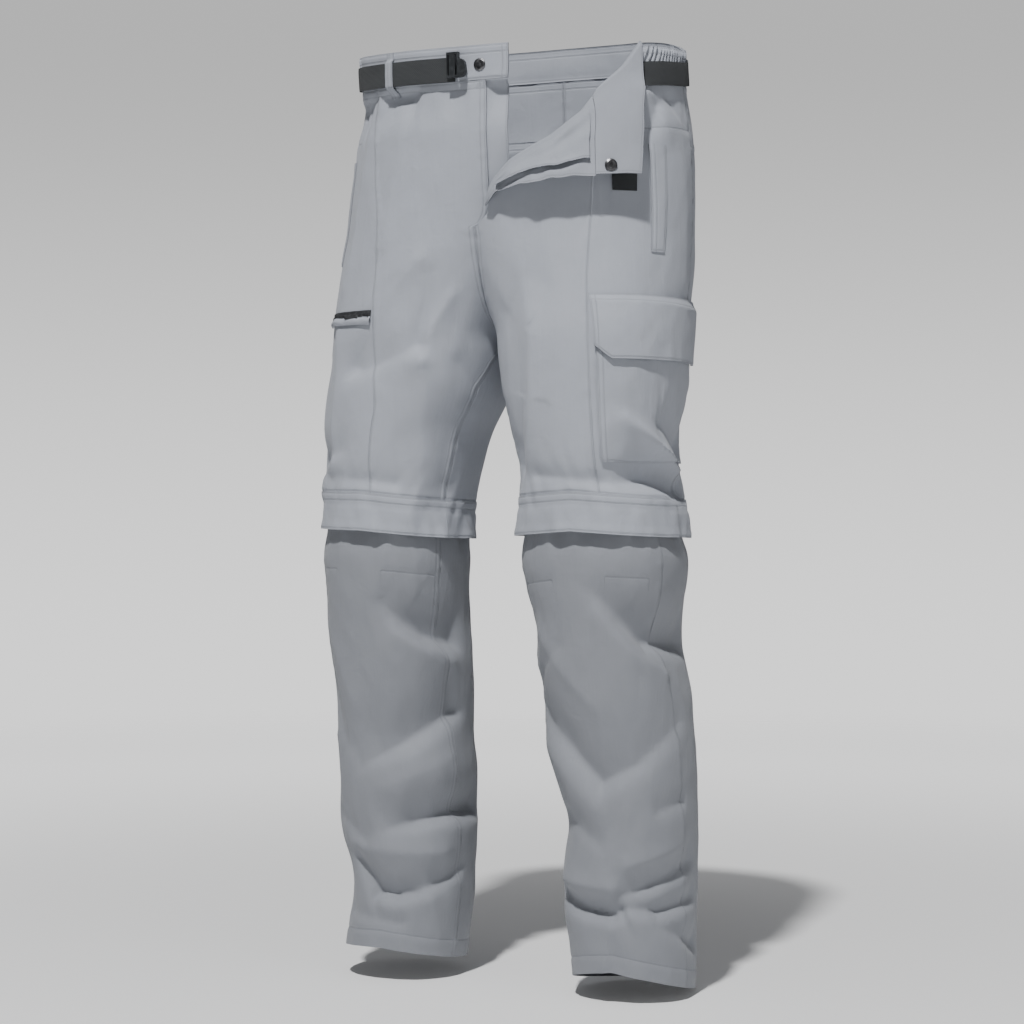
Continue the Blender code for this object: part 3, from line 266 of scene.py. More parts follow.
def lineDistance(angle, z, a0, z0, a1, z1):
    # signed distance across the line, distance past its ends and place along it
    run, drop, length = lineRun(a0, z0, a1, z1)
    du = (np.mod(angle - a0 + 180, 360) - 180) * metresPerDegree
    dz = z - z0
    t = (du * run + dz * drop) / length
    off = (dz * run - du * drop) / length
    return off, np.maximum(np.abs(t - length / 2) - length / 2, 0), t


def creaseLift(angle, z, above, below, points):
    # one fold: the nearest stretch of its crease gives the distance and the height
    found, sides = [], []
    for (a0, z0, rise0), (a1, z1, rise1) in zip(points, points[1:]):
        off, past, t = lineDistance(angle, z, a0, z0, a1, z1)
        run, drop, length = lineRun(a0, z0, a1, z1)
        found.append((off, past, t, length, rise0, rise1))
        sides.append(off if abs(run) < abs(drop) * 0.2 else off * np.sign(run))
    last = len(found) - 1
    nearest = np.full(np.broadcast(angle, z).shape, 99.0)
    scaled, level = nearest.copy(), np.zeros(nearest.shape)
    for k, (off, past, t, length, rise0, rise1) in enumerate(found):
        atStart, atEnd = t < 0, t > length
        # beside an inner point of the crease the side comes from both stretches that meet there
        facing = sides[k] + np.where(atStart, sides[max(k - 1, 0)], 0) + np.where(atEnd, sides[min(k + 1, last)], 0)
        width = np.where(facing > 0, above, below)
        outerEnd = (atStart & (k == 0)) | (atEnd & (k == last))
        fade = np.where(outerEnd, 1.4 * min(above, below), width)
        distance = np.hypot(off, past)
        near = distance < nearest
        nearest = np.where(near, distance, nearest)
        scaled = np.where(near, np.hypot(off / width, past / fade), scaled)
        level = np.where(near, rise0 + (rise1 - rise0) * np.clip(t / length, 0, 1), level)
    return level * np.exp(-(np.sqrt(scaled**2 + 0.02) ** 1.5))


# heights of the cloth's unevenness, metres
hang = {"slow": 0.0009, "quick": 0.00055, "gather": 0.0056, "gatherWave": 0.0044, "pucker": 0.0012, "drawnIn": 0.0012,
        "drawnWave": 0.0022}
noiseSeeds = {("left", "thigh"): 3, ("left", "shin"): 8, ("right", "thigh"): 11, ("right", "shin"): 16}


def foldLift(side, part, angle, z):
    total = np.zeros(np.broadcast(angle, z).shape)
    for above, below, *points in folds[side, part]:
        total += creaseLift(angle, z, above, below, points)
    seed = noiseSeeds[side, part]
    # slow unevenness of the hung cloth, in long upright and slanting waves
    u = (np.mod(angle + 100, 360) - 100) * metresPerDegree
    total += hang["slow"] * softNoise(u / 0.030 + z / 0.10, z / 0.085, seed)
    total += hang["quick"] * softNoise(u / 0.013 - z / 0.05, z / 0.030 + u / 0.07, seed + 1)
    fromKnee = z - kneeLine(side, angle)
    if part == "thigh":
        if side == "right":
            # gathers hang from the front of the waistband
            reach = ease(-z, 0.050, 0.058) * (1 - ease(-z, 0.062, 0.105))
            reach = reach * np.clip(np.cos(np.radians(angle)) + 0.25, 0, 1)
            total += reach * (hang["gatherWave"] * softNoise(u / 0.0075, z / 0.06, seed + 2) - hang["gather"])
        # the cloth puckers above the knee seam
        pucker = softNoise(u / 0.010 + z / 0.03, z / 0.040, seed + 3)
        total += hang["pucker"] * hump(fromKnee, 0.030) * pucker
        total *= np.clip(np.abs(formPoint(side, part, angle, z)[..., 0]) / 0.03, 0, 1)
    else:
        # the lower leg's top is drawn in along its zip
        drawn = hang["drawnWave"] * softNoise(u / 0.0125, z / 0.09, seed + 4) - hang["drawnIn"]
        total += hump(fromKnee + 0.030, 0.026) * drawn
    return total


def clothPoint(side, part, angle, z, out=0.0):
    angle, z = np.broadcast_arrays(np.asarray(angle, float), np.asarray(z, float))
    lift = foldLift(side, part, angle, z) + out
    return formPoint(side, part, angle, z) + formNormal(side, part, angle, z) * lift[..., None]


def angleAtX(side, z, x, back=False):
    cx, _, _, inner, _, _ = sectionAt(side, "thigh", z)
    share = np.clip((cx - x) / inner, -0.999999, 1.0)
    powered = np.abs(share) ** cut["squareness"]
    turn = np.degrees(np.arctan2(powered ** (1 / cut["squareness"]), (1 - powered) ** (1 / cut["squareness"])))
    turn = turn * np.sign(share)
    return 180 + turn if back else -turn


def innerEdge(side, z, back=False):
    middle = angleAtX(side, z, cut["gap"] / 2, back)
    legGap = math.degrees(cut["gap"] / 2 / 0.095)
    seam = readTable(inseam, z) + (360 - legGap if back else legGap)
    return np.where(z > cut["crotchZ"], middle, seam)


def waistTop(side, angle):
    # lower in front, and on the left where the open fly lets the waist sag
    level = 0.006 - 0.020 * np.cos(np.radians(angle))
    if side == "left":
        level = level - 0.012 * ease(150 - angle, 0, 50) - 0.006 * hump(angle - 100, 25)
    return level


def bandFoot(side, angle):
    return waistTop(side, angle) - cut["bandHeight"]


def facings(angle):
    # how far a place faces inward, outward and back, 0 to 1
    s, c = np.sin(np.radians(angle)), np.cos(np.radians(angle))
    return np.clip(-s, 0, 1), np.clip(s, 0, 1), np.clip(-c, 0, 1)


# how far the knee zip drops at the inner and outer side; the hem's level in front and its drop behind and outside
kneeDrops = {"left": (0.006, 0.007), "right": (0.009, -0.002)}
hemDrops = {"left": (-0.999, 0.028, 0.010), "right": (-0.995, 0.020, 0.0)}


def kneeLine(side, angle):
    inward, outward, behind = facings(angle)
    atInner, atOuter = kneeDrops[side]
    return cut["kneeZ"] - atInner * inward - atOuter * outward - 0.004 * behind


def hemLine(side, angle):
    inward, outward, _ = facings(angle)
    level, atBack, atOuter = hemDrops[side]
    return level - atBack * (1 - np.cos(np.radians(angle))) / 2 - 0.007 * inward - atOuter * outward


def rightFlyEdge(z):
    share = np.clip((z - cut["flyFoot"]) / 0.030, 0, 1)
    x = cut["flyReach"] * np.sqrt(share * (2 - share))
    return np.where(z > cut["flyFoot"], angleAtX("right", z, -x), innerEdge("right", z))


# shader groups, each built once
def newGroup(name, ins, outs):
    group = bpy.data.node_groups.new(name, "ShaderNodeTree")
    for label, kind, value in ins:
        socket = group.interface.new_socket(name=label, in_out="INPUT", socket_type=kind)
        if value is not None:
            socket.default_value = value
    for label in outs:
        group.interface.new_socket(name=label, in_out="OUTPUT", socket_type="NodeSocketFloat")
    return group, group.nodes.new("NodeGroupInput"), group.nodes.new("NodeGroupOutput")


def feed(tree, socket, value):
    # a number or a colour is set, another node's output is linked
    if isinstance(value, (int, float, tuple)):
        socket.default_value = value
    else:
        tree.links.new(value, socket)


def mathNode(tree, operation, *values):
    node = tree.nodes.new("ShaderNodeMath")
    node.operation = operation
    for socket, value in zip(node.inputs, values):
        feed(tree, socket, value)
    return node.outputs[0]


def rangeNode(tree, value, low, high, toLow, toHigh):
    node = tree.nodes.new("ShaderNodeMapRange")
    node.interpolation_type = "SMOOTHSTEP"
    for label, given in (("Value", value), ("From Min", low), ("From Max", high), ("To Min", toLow),
                         ("To Max", toHigh)):
        feed(tree, node.inputs[label], given)
    return node.outputs[0]


def splitNode(tree, vector):
    node = tree.nodes.new("ShaderNodeSeparateXYZ")
    tree.links.new(vector, node.inputs[0])
    return node.outputs


def noiseNode(tree, vector, scale, detail, distortion=0.0):
    node = tree.nodes.new("ShaderNodeTexNoise")
    for label, given in (("Vector", vector), ("Scale", scale), ("Detail", detail), ("Distortion", distortion)):
        feed(tree, node.inputs[label], given)
    return node.outputs[0]


def makeWeave():
    # crossing yarns: the UV map is in metres
    tree, come, go = newGroup("wovenYarns", (("UV", "NodeSocketVector", None), ("Yarn", "NodeSocketFloat", 0.0005)),
                              ("Height", "Shade"))
    waves = []
    for axis in splitNode(tree, come.outputs["UV"])[:2]:
        turns = mathNode(tree, "DIVIDE", axis, come.outputs["Yarn"])
        waves.append(mathNode(tree, "SINE", mathNode(tree, "MULTIPLY", turns, math.pi)))
    crossing = mathNode(tree, "MULTIPLY", *waves)
    scatter = mathNode(tree, "MULTIPLY", noiseNode(tree, come.outputs["UV"], 900.0, 2.0), 0.6)
    tree.links.new(mathNode(tree, "ADD", mathNode(tree, "ABSOLUTE", crossing), scatter), go.inputs["Height"])
    tree.links.new(rangeNode(tree, crossing, -1, 1, 0.0, 1.0), go.inputs["Shade"])
    return tree


def makeStitches():
    # a row of stitches at an offset from an edge
    tree, come, go = newGroup("stitchRow", (
        ("Distance", "NodeSocketFloat", 1.0), ("Along", "NodeSocketFloat", 0.0), ("Offset", "NodeSocketFloat", 0.0015),
        ("Stitch", "NodeSocketFloat", 0.0028), ("Thread", "NodeSocketFloat", 0.0004)), ("Thread", "Dent"))
    away = mathNode(tree, "ABSOLUTE", mathNode(tree, "SUBTRACT", come.outputs["Distance"], come.outputs["Offset"]))
    across = mathNode(tree, "DIVIDE", away, come.outputs["Thread"])
    band = rangeNode(tree, across, 0.5, 1.1, 1.0, 0.0)
    beat = mathNode(tree, "FRACT", mathNode(tree, "DIVIDE", come.outputs["Along"], come.outputs["Stitch"]))
    middle = mathNode(tree, "ABSOLUTE", mathNode(tree, "SUBTRACT", beat, 0.5))
    dash = rangeNode(tree, middle, 0.30, 0.42, 1.0, 0.0)
    tree.links.new(mathNode(tree, "MULTIPLY", band, dash), go.inputs["Thread"])
    tree.links.new(rangeNode(tree, across, 0.6, 4.0, 1.0, 0.0), go.inputs["Dent"])
    return tree


def makeMottle():
    # slow unevenness of a dyed or moulded surface, and fine specks
    tree, come, go = newGroup("mottle", (("Vector", "NodeSocketVector", None), ("Size", "NodeSocketFloat", 12.0)),
                              ("Slow", "Fine"))
    for label, factor, detail in (("Slow", 1.0, 3.0), ("Fine", 9.0, 4.0)):
        scale = mathNode(tree, "MULTIPLY", come.outputs["Size"], factor)
        tree.links.new(noiseNode(tree, come.outputs["Vector"], scale, detail), go.inputs[label])
    return tree


weaveGroup, stitchGroup, mottleGroup = makeWeave(), makeStitches(), makeMottle()


def placeGroup(tree, group, **values):
    node = tree.nodes.new("ShaderNodeGroup")
    node.node_tree = group
    for label, value in values.items():
        feed(tree, node.inputs[label], value)
    return node.outputs


def placeMottle(tree, size):
    coords = tree.nodes.new("ShaderNodeTexCoord").outputs["Object"]
    return coords, placeGroup(tree, mottleGroup, Vector=coords, Size=size)


def clothUv(tree):
    node = tree.nodes.new("ShaderNodeUVMap")
    node.uv_map = "cloth"
    return node.outputs[0]


def mixColour(tree, factor, a, b):
    node = tree.nodes.new("ShaderNodeMix")
    node.data_type = "RGBA"
    for k, value in ((0, factor), (6, a), (7, b)):
        feed(tree, node.inputs[k], value)
    return node.outputs[2]


def addBump(tree, shader, height, strength, distance):
    node = tree.nodes.new("ShaderNodeBump")
    for label, given in (("Strength", strength), ("Distance", distance), ("Height", height)):
        feed(tree, node.inputs[label], given)
    tree.links.new(node.outputs[0], shader.inputs["Normal"])


def startMaterial(name, roughness, metallic=0.0):
    material = bpy.data.materials.new(name)
    material.use_nodes = True
    shader = material.node_tree.nodes["Principled BSDF"]
    shader.inputs["Roughness"].default_value = roughness
    shader.inputs["Metallic"].default_value = metallic
    return material, material.node_tree, shader


clothLook = {"lit": (0.415, 0.438, 0.492, 1), "deep": (0.355, 0.376, 0.425, 1), "thread": (0.30, 0.315, 0.355, 1),
             "yarn": 0.00048, "roughness": 0.74, "sheen": 0.12, "bump": 0.60}
# painted shade: a darker copy of the grey cloth for the lower legs, standing in for the light that falls off towards
# the hems
shadedLowerLook = {**clothLook, "lit": (0.272, 0.285, 0.316, 1), "deep": (0.224, 0.235, 0.262, 1),
             "thread": (0.21, 0.22, 0.25, 1)}
insideLook = {"lit": (0.330, 0.348, 0.392, 1), "deep": (0.278, 0.294, 0.333, 1), "thread": (0.28, 0.295, 0.33, 1),
              "yarn": 0.00066, "roughness": 0.80, "sheen": 0.08, "bump": 0.5}
facingLook = {**insideLook, "lit": (0.335, 0.354, 0.398, 1), "deep": (0.275, 0.292, 0.330, 1), "yarn": 0.0010,
              "bump": 0.75}


def makeCloth(name, look):
    material, tree, shader = startMaterial(name, look["roughness"])
    for label, value in (("Sheen Weight", look["sheen"]), ("Sheen Roughness", 0.5), ("Specular IOR Level", 0.35)):
        shader.inputs[label].default_value = value
    uv = clothUv(tree)
    u, v, _ = splitNode(tree, uv)
    weave = placeGroup(tree, weaveGroup, UV=uv, Yarn=look["yarn"])
    coords, mottle = placeMottle(tree, 11.0)
    marks = []
    for label in ("sewnAcross", "sewnDown", "sewnLine"):
        attribute = tree.nodes.new("ShaderNodeAttribute")
        attribute.attribute_name = label
        marks.append(splitNode(tree, attribute.outputs["Vector"]))
    across, down, line = marks
    thread, dentAndShade = 0.0, 0.0
    for distance, along, offset in (
        (across[0], v, 0.0016), (across[0], v, 0.0066), (across[1], v, 0.0016), (down[0], u, 0.0018),
        (down[0], u, 0.0090), (down[1], u, 0.0018), (down[2], u, 0.0), (line[0], line[1], 0.0),
    ):
        row = placeGroup(tree, stitchGroup, Distance=distance, Along=along, Offset=offset)
        thread = mathNode(tree, "MAXIMUM", thread, row["Thread"])
        dentAndShade = mathNode(tree, "MAXIMUM", dentAndShade, row["Dent"])
    # painted shade: the colour darkens along the stitched panel edges, where shade would gather in the seam
    edge = mathNode(tree, "MINIMUM", mathNode(tree, "MINIMUM", *across[:2]), mathNode(tree, "MINIMUM", *down[:2]))
    seamShade = rangeNode(tree, edge, 0.0, 0.0009, 1.0, 0.0)
    colour = mixColour(tree, mottle["Slow"], look["deep"], look["lit"])
    colour = mixColour(tree, rangeNode(tree, weave["Shade"], 0, 1, 0.0, 0.10), colour, (0.62, 0.64, 0.67, 1))
    # the fine specks are the cloth's own tone; the stitch dents and the seam lines get painted shade, and the dents
    # also shape the bump
    for value, share, tint in ((mottle["Fine"], 0.10, (0.24, 0.25, 0.28, 1)), (dentAndShade, 0.15, (0.20, 0.21, 0.235, 1)),
                               (seamShade, 0.32, (0.12, 0.125, 0.14, 1))):
        colour = mixColour(tree, mathNode(tree, "MULTIPLY", value, share), colour, tint)
    tree.links.new(mixColour(tree, thread, colour, look["thread"]), shader.inputs["Base Color"])
    tree.links.new(rangeNode(tree, mottle["Fine"], 0.25, 0.75, look["roughness"] - 0.06, look["roughness"] + 0.06),
                   shader.inputs["Roughness"])
    crinkle = noiseNode(tree, coords, 46.0, 4.0, 0.6)
    # long upright creases of the hung cloth, much softer than the crinkle
    stretch = tree.nodes.new("ShaderNodeMapping")
    stretch.inputs["Scale"].default_value = (1.0, 1.0, 0.16)
    tree.links.new(coords, stretch.inputs["Vector"])
    streaks = noiseNode(tree, stretch.outputs[0], 58.0, 3.0, 0.4)
    height = mathNode(tree, "MULTIPLY", weave["Height"], 0.10)
    for value, share in ((crinkle, 1.5), (streaks, 2.2), (thread, 0.5), (dentAndShade, -0.7)):
        height = mathNode(tree, "ADD", height, mathNode(tree, "MULTIPLY", value, share))
    addBump(tree, shader, height, look["bump"], 0.0008)
    return material


outerCloth = makeCloth("greyNylon", clothLook)
# the same nylon again, darkened with painted shade for the lower legs
shadedLowerCloth = makeCloth("greyNylonLower", shadedLowerLook)
innerCloth = makeCloth("greyNylonInside", insideLook)
facingCloth = makeCloth("greyNylonFacing", facingLook)


def makeWebbing():
    material, tree, shader = startMaterial("charcoalWebbing", 0.82)
    weave = placeGroup(tree, weaveGroup, UV=clothUv(tree), Yarn=0.0013)
    _, mottle = placeMottle(tree, 40.0)
    colour = mixColour(tree, mottle["Slow"], (0.020, 0.022, 0.024, 1), (0.034, 0.037, 0.040, 1))
    colour = mixColour(tree, mathNode(tree, "MULTIPLY", weave["Shade"], 0.5), colour, (0.055, 0.059, 0.062, 1))
    tree.links.new(colour, shader.inputs["Base Color"])
    shader.inputs["Sheen Weight"].default_value = 0.04
    addBump(tree, shader, weave["Height"], 0.6, 0.0004)
    return material


def makeHard(name, colour, worn, roughness, metallic, grain):
    material, tree, shader = startMaterial(name, roughness, metallic)
    _, mottle = placeMottle(tree, grain)
    wear = rangeNode(tree, mottle["Slow"], 0.45, 0.75, 0.0, 1.0)
    tree.links.new(mixColour(tree, wear, colour, worn), shader.inputs["Base Color"])
    matt = rangeNode(tree, mottle["Fine"], 0.3, 0.7, roughness - 0.08, roughness + 0.10)
    tree.links.new(matt, shader.inputs["Roughness"])
    addBump(tree, shader, mottle["Fine"], 0.25, 0.0003)
    return material


webbing = makeWebbing()
bucklePlastic = makeHard("bucklePlastic", (0.018, 0.020, 0.022, 1), (0.045, 0.048, 0.052, 1), 0.42, 0.0, 160.0)
snapMetal = makeHard("darkSnapMetal", (0.10, 0.10, 0.105, 1), (0.26, 0.26, 0.27, 1), 0.34, 0.9, 260.0)
zipPlastic = makeHard("zipCoil", (0.030, 0.031, 0.034, 1), (0.075, 0.078, 0.082, 1), 0.46, 0.0, 300.0)
print("materials made")


# meshes
def addObject(name, data):
    made = bpy.data.objects.new(name, data)
    bpy.context.scene.collection.objects.link(made)
    return made


def addMesh(name, points, faces, material, sharp=55):
    mesh = bpy.data.meshes.new(name)
    mesh.from_pydata(points, [], faces)
    mesh.materials.append(material)
    mesh.shade_smooth()
    mesh.set_sharp_from_angle(angle=math.radians(sharp))
    piece = addObject(name, mesh)
    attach(piece, rootBody)
    return piece


def shell(name, face, lining, uv, marks, material):
    # a closed sheet between two grids of points; marks are the stitching distances at each point
    rows, cols = face.shape[:2]
    points = np.concatenate([face.reshape(-1, 3), lining.reshape(-1, 3)])
    front = np.arange(rows * cols).reshape(rows, cols)
    back = front + rows * cols
    quads = np.concatenate([np.stack(corners, -1).reshape(-1, 4) for corners in (
        (front[:-1, :-1], front[:-1, 1:], front[1:, 1:], front[1:, :-1]),
        (back[1:, :-1], back[1:, 1:], back[:-1, 1:], back[:-1, :-1]),
        (back[0, :-1], back[0, 1:], front[0, 1:], front[0, :-1]),
        (front[-1, :-1], front[-1, 1:], back[-1, 1:], back[-1, :-1]),
        (front[:-1, 0], front[1:, 0], back[1:, 0], back[:-1, 0]),
        (back[:-1, -1], back[1:, -1], front[1:, -1], front[:-1, -1]),
    )])
    a, b, c, d = (points[quads[:, k]] for k in range(4))
    volume = (np.einsum("ij,ij->i", a, np.cross(b, c)) + np.einsum("ij,ij->i", a, np.cross(c, d))).sum()
    if volume < 0:
        quads = quads[:, ::-1]
    piece = addMesh(name, points.tolist(), quads.tolist(), material)
    mesh = piece.data
    layer = mesh.uv_layers.new(name="cloth")
    corners = np.empty(len(mesh.loops), dtype=np.int32)
    mesh.loops.foreach_get("vertex_index", corners)
    flatUv = np.concatenate([uv.reshape(-1, 2)] * 2)
    layer.data.foreach_set("uv", flatUv[corners].astype(np.float32).ravel())
    for label in ("sewnAcross", "sewnDown", "sewnLine"):
        values = marks.get(label, np.ones((rows, cols, 3))).reshape(-1, 3)
        attribute = mesh.attributes.new(name=label, type="FLOAT_VECTOR", domain="POINT")
        attribute.data.foreach_set("vector", np.concatenate([values] * 2).astype(np.float32).ravel())
    return piece


def gridLengths(points):
    # lengths along the rows and down the columns of a grid
    acrossSteps = np.linalg.norm(np.diff(points, axis=1), axis=-1)
    downSteps = np.linalg.norm(np.diff(points, axis=0), axis=-1)
    across = np.concatenate([np.zeros((points.shape[0], 1)), np.cumsum(acrossSteps, 1)], 1)
    down = np.concatenate([np.zeros((1, points.shape[1])), np.cumsum(downSteps, 0)], 0)
    return across, down


def makeSheet(name, node, face, lining, uv, marks, material=outerCloth):
    piece = shell(name, face, lining, uv, marks, material)
    if node:
        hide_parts(node)


def panelGrid(top, foot, edgeA, edgeB, rows, cols):
    u, t = np.meshgrid(np.linspace(0, 1, cols + 1), np.linspace(0, 1, rows + 1))
    z = np.full(u.shape, float(np.mean(top(30.0)) + np.mean(foot(30.0))) / 2)
    angle = z
    for _ in range(12):
        angle = edgeA(z) * (1 - u) + edgeB(z) * u
        z = top(angle) * (1 - t) + foot(angle) * t
    return angle, z


# at a seam: the dip and its half width, the cloth that stands up over the allowance, the puckers and their reach
sewnEdge = {"dip": 0.0005, "dipHalf": 0.0014, "stand": 0.0005, "pucker": 0.00045, "puckerReach": 0.0105}
sewnRow = {"dip": 0.0006, "dipHalf": 0.0020, "pucker": 0.00035, "puckerReach": 0.009}
hemShape = {"dip": 0.0005, "dipHalf": 0.0022, "stand": 0.0006, "pucker": 0.0006, "puckerReach": 0.012}


def seamRelief(marks, uv):
    relief = 0.0
    for label, along in (("sewnAcross", uv[..., 1]), ("sewnDown", uv[..., 0])):
        for k in (0, 1):
            d = marks[label][..., k]
            relief = relief - sewnEdge["dip"] * hump(d, sewnEdge["dipHalf"])
            relief = relief + sewnEdge["stand"] * (1 - ease(d, 0.0055, 0.0080))
            pucker = softNoise(along / 0.0062, d * 0 + k * 7.3, 21) + 0.6 * softNoise(along / 0.017, d / 0.02, 22)
            relief = relief + sewnEdge["pucker"] * pucker * hump(d, sewnEdge["puckerReach"])
    d = np.abs(marks["sewnLine"][..., 0])
    pucker = softNoise(marks["sewnLine"][..., 1] / 0.007, d / 0.02, 23)
    return (relief - sewnRow["dip"] * hump(d, sewnRow["dipHalf"])
            + sewnRow["pucker"] * pucker * hump(d, sewnRow["puckerReach"]))


def edgeMarks(across, down, sewn, hemRow=None):
    # distances to the stitched edges: a and b are the first and the last column, t and f the top and the foot
    far = np.ones(across.shape)
    toEnd, toFoot = across[:, -1:] - across, down[-1:] - down
    return {
        "sewnAcross": np.stack([across if "a" in sewn else far, toEnd if "b" in sewn else far, far], -1),
        "sewnDown": np.stack([down if "t" in sewn else far, toFoot if "f" in sewn else far,
                              toFoot - hemRow if hemRow else far], -1),
    }


def middleUv(across, up):
    return np.stack([across - across[:, -1:] / 2, up], -1)


def lineMarks(angle, z, lines):
    # signed distance to the nearest stitched line and place along it
    marks = np.ones((*angle.shape, 3))
    best = np.full(angle.shape, 1.0)
    for a0, z0, a1, z1 in lines:
        off, past, t = lineDistance(angle, z, a0, z0, a1, z1)
        reach = np.hypot(off, past)
        near = reach < best
        best = np.where(near, reach, best)
        signed = np.where(past > 0.0005, reach, off)
        marks[..., 0] = np.where(near, signed, marks[..., 0])
        marks[..., 1] = np.where(near, t, marks[..., 1])
    return marks


def clothPiece(node, side, part, top, foot, edgeA, edgeB, sewn="", out=0.0, shape=None, lines=(), thick=cut["cloth"],
               material=outerCloth, step=cut["step"], hemRow=None, ownSide=False):
    # a panel of cloth between two seams, a top line and a foot line; sewn names its stitched edges
    angle, z = panelGrid(top, foot, edgeA, edgeB, 8, 8)
    across, down = gridLengths(clothPoint(side, part, angle, z))
    cols, rows = max(4, int(across[:, -1].max() / step)), max(4, int(down[-1].max() / step))
    angle, z = panelGrid(top, foot, edgeA, edgeB, rows, cols)
    across, down = gridLengths(clothPoint(side, part, angle, z))
    uv = middleUv(across, z)
    marks = {**edgeMarks(across, down, sewn, hemRow), "sewnLine": lineMarks(angle, z, lines)}
    lift = out + seamRelief(marks, uv)
    if hemRow:
        d = marks["sewnDown"][..., 2]
        lift = lift - hemShape["dip"] * hump(d, hemShape["dipHalf"]) + hemShape["stand"] * (1 - ease(d, -0.004, 0.001))
        pucker = softNoise(across / 0.011, d / 0.03, 31)
        lift = lift + hemShape["pucker"] * pucker * hump(d, hemShape["puckerReach"])
    if shape:
        lift = lift + shape(angle, down / down[-1:])
    face = clothPoint(side, part, angle, z, lift)
    lining = face - formNormal(side, part, angle, z) * thick
    if ownSide:
        # the left and right pieces meet in the middle, except where the fly overlaps it
        sign = 1 if side == "left" else -1
        clear = (z < cut["flyFoot"]) | (np.cos(np.radians(angle)) < 0) | (side == "left")
        for grid in (face, lining):
            grid[..., 0] = np.where(clear, np.maximum(sign * grid[..., 0], cut["gap"] / 2) * sign, grid[..., 0])
    makeSheet(f"{node}_cloth", node, face, lining, uv, marks, material)


seamHalf = math.degrees(cut["gap"] / 2 / 0.1)


def panelTop(side):
    return lambda angle: bandFoot(side, angle) - cut["gap"]


def foldTop(angle):
    return readTable(foldLineAt, angle)


def leftTop(angle):
    return np.where(angle > 48.0, np.minimum(panelTop("left")(angle), foldTop(angle)), foldTop(angle))


bodyPanels = {
    "yokeDrop": 0.067, "coarse": 0.0042,
    "frontSewn": {"left": "abf", "right": "abtf"}, "sideSewn": {"left": "bf", "right": "btf"},
    "sideLines": {"left": ((60, -0.103, 95, -0.098),), "right": ((58, -0.100, 95, -0.097),)},
    "flyLines": {"left": (), "right": ((-6.5, -0.056, -13, -0.110), (-13, -0.110, -22, -0.165))},
}


def makeBodyPanels():
    for side in ("left", "right"):
        seam, bandTop = frontSeams[side], panelTop(side)
        frontTop, sideTop = (foldTop, leftTop) if side == "left" else (bandTop, bandTop)
        fly = rightFlyEdge if side == "right" else (lambda z: innerEdge("left", z))
        foot = lambda angle: kneeLine(side, angle) + cut["gap"] / 2
        clothPiece(f"front_{side}", side, "thigh", frontTop, foot, fly, lambda z: readTable(seam, z) - seamHalf,
                   bodyPanels["frontSewn"][side], lines=bodyPanels["flyLines"][side], ownSide=True)
        clothPiece(f"side_{side}", side, "thigh", sideTop, foot, lambda z: readTable(seam, z) + seamHalf,
                   lambda z: readTable(sideSeam, z) - seamHalf, bodyPanels["sideSewn"][side],
                   lines=bodyPanels["sideLines"][side], ownSide=True)
        sideEdge = lambda z: readTable(sideSeam, z) + seamHalf
        backEdge = lambda z: innerEdge(side, z, back=True)
        yokeFoot = lambda angle: bandFoot(side, angle) - bodyPanels["yokeDrop"]
        clothPiece(f"back_{side}", side, "thigh", lambda angle: yokeFoot(angle) + 0.0004, foot, sideEdge, backEdge,
                   "abtf", step=bodyPanels["coarse"], ownSide=True)
        clothPiece(f"yoke_{side}", side, "thigh", bandTop, yokeFoot, sideEdge, backEdge, "abt",
                   step=bodyPanels["coarse"], ownSide=True)
    print("body panels made")


makeBodyPanels()

lowerLegs = {
    "darts": {"left": ((-60, -0.588, -20, -0.582), (21, -0.578, 53, -0.580)),
              "right": ((26, -0.572, 51, -0.572), (-61, -0.580, -16, -0.574))},
    "underFlap": 0.0155, "flare": 0.0022, "ripple": 0.0024, "slant": 0.0011, "dip": 0.0007, "flapThick": 0.0016,
}


def flapFlare(angle, share):
    slant = softNoise(angle / 5.5 + share * 1.6, share * 0.8, 42)
    return (lowerLegs["flare"] * share**2 + lowerLegs["ripple"] * share * softNoise(angle / 9.0, share, 41)
            + lowerLegs["slant"] * slant * ease(share, 0.25, 0.55) - lowerLegs["dip"] * hump(share - 0.30, 0.05))


def makeLowerLegs():
    for side in ("left", "right"):
        top = lambda angle: kneeLine(side, angle) - lowerLegs["underFlap"]
        hem = lambda angle: hemLine(side, angle)
        clothPiece(f"lower_front_{side}", side, "shin", top, hem, lambda z: -readTable(shinSeam, z) + seamHalf,
                   lambda z: readTable(shinSeam, z) - seamHalf, "ab", lines=lowerLegs["darts"][side],
                   hemRow=cut["hem"], material=shadedLowerCloth)
        clothPiece(f"lower_back_{side}", side, "shin", top, hem, lambda z: readTable(shinSeam, z) + seamHalf,
                   lambda z: 360 - readTable(shinSeam, z) - seamHalf, hemRow=cut["hem"], step=bodyPanels["coarse"],
                   material=shadedLowerCloth)
        flapTop = lambda angle: kneeLine(side, angle) + 0.0006
        flapFoot = lambda angle: kneeLine(side, angle) - cut["kneeFlap"]
        for half, start, end in (("front", -66, 104), ("back", 104, 294)):
            clothPiece(f"knee_flap_{half}_{side}", side, "thigh", flapTop, flapFoot,
                       lambda z: np.full(np.shape(z), start + seamHalf), lambda z: np.full(np.shape(z), end - seamHalf),
                       "tf", out=0.0012, thick=lowerLegs["flapThick"], shape=flapFlare, step=0.0030)
    print("lower legs made")


makeLowerLegs()

waistband = {"out": 0.0010, "deep": 0.0026, "gathers": 0.0011, "elastic": 26}


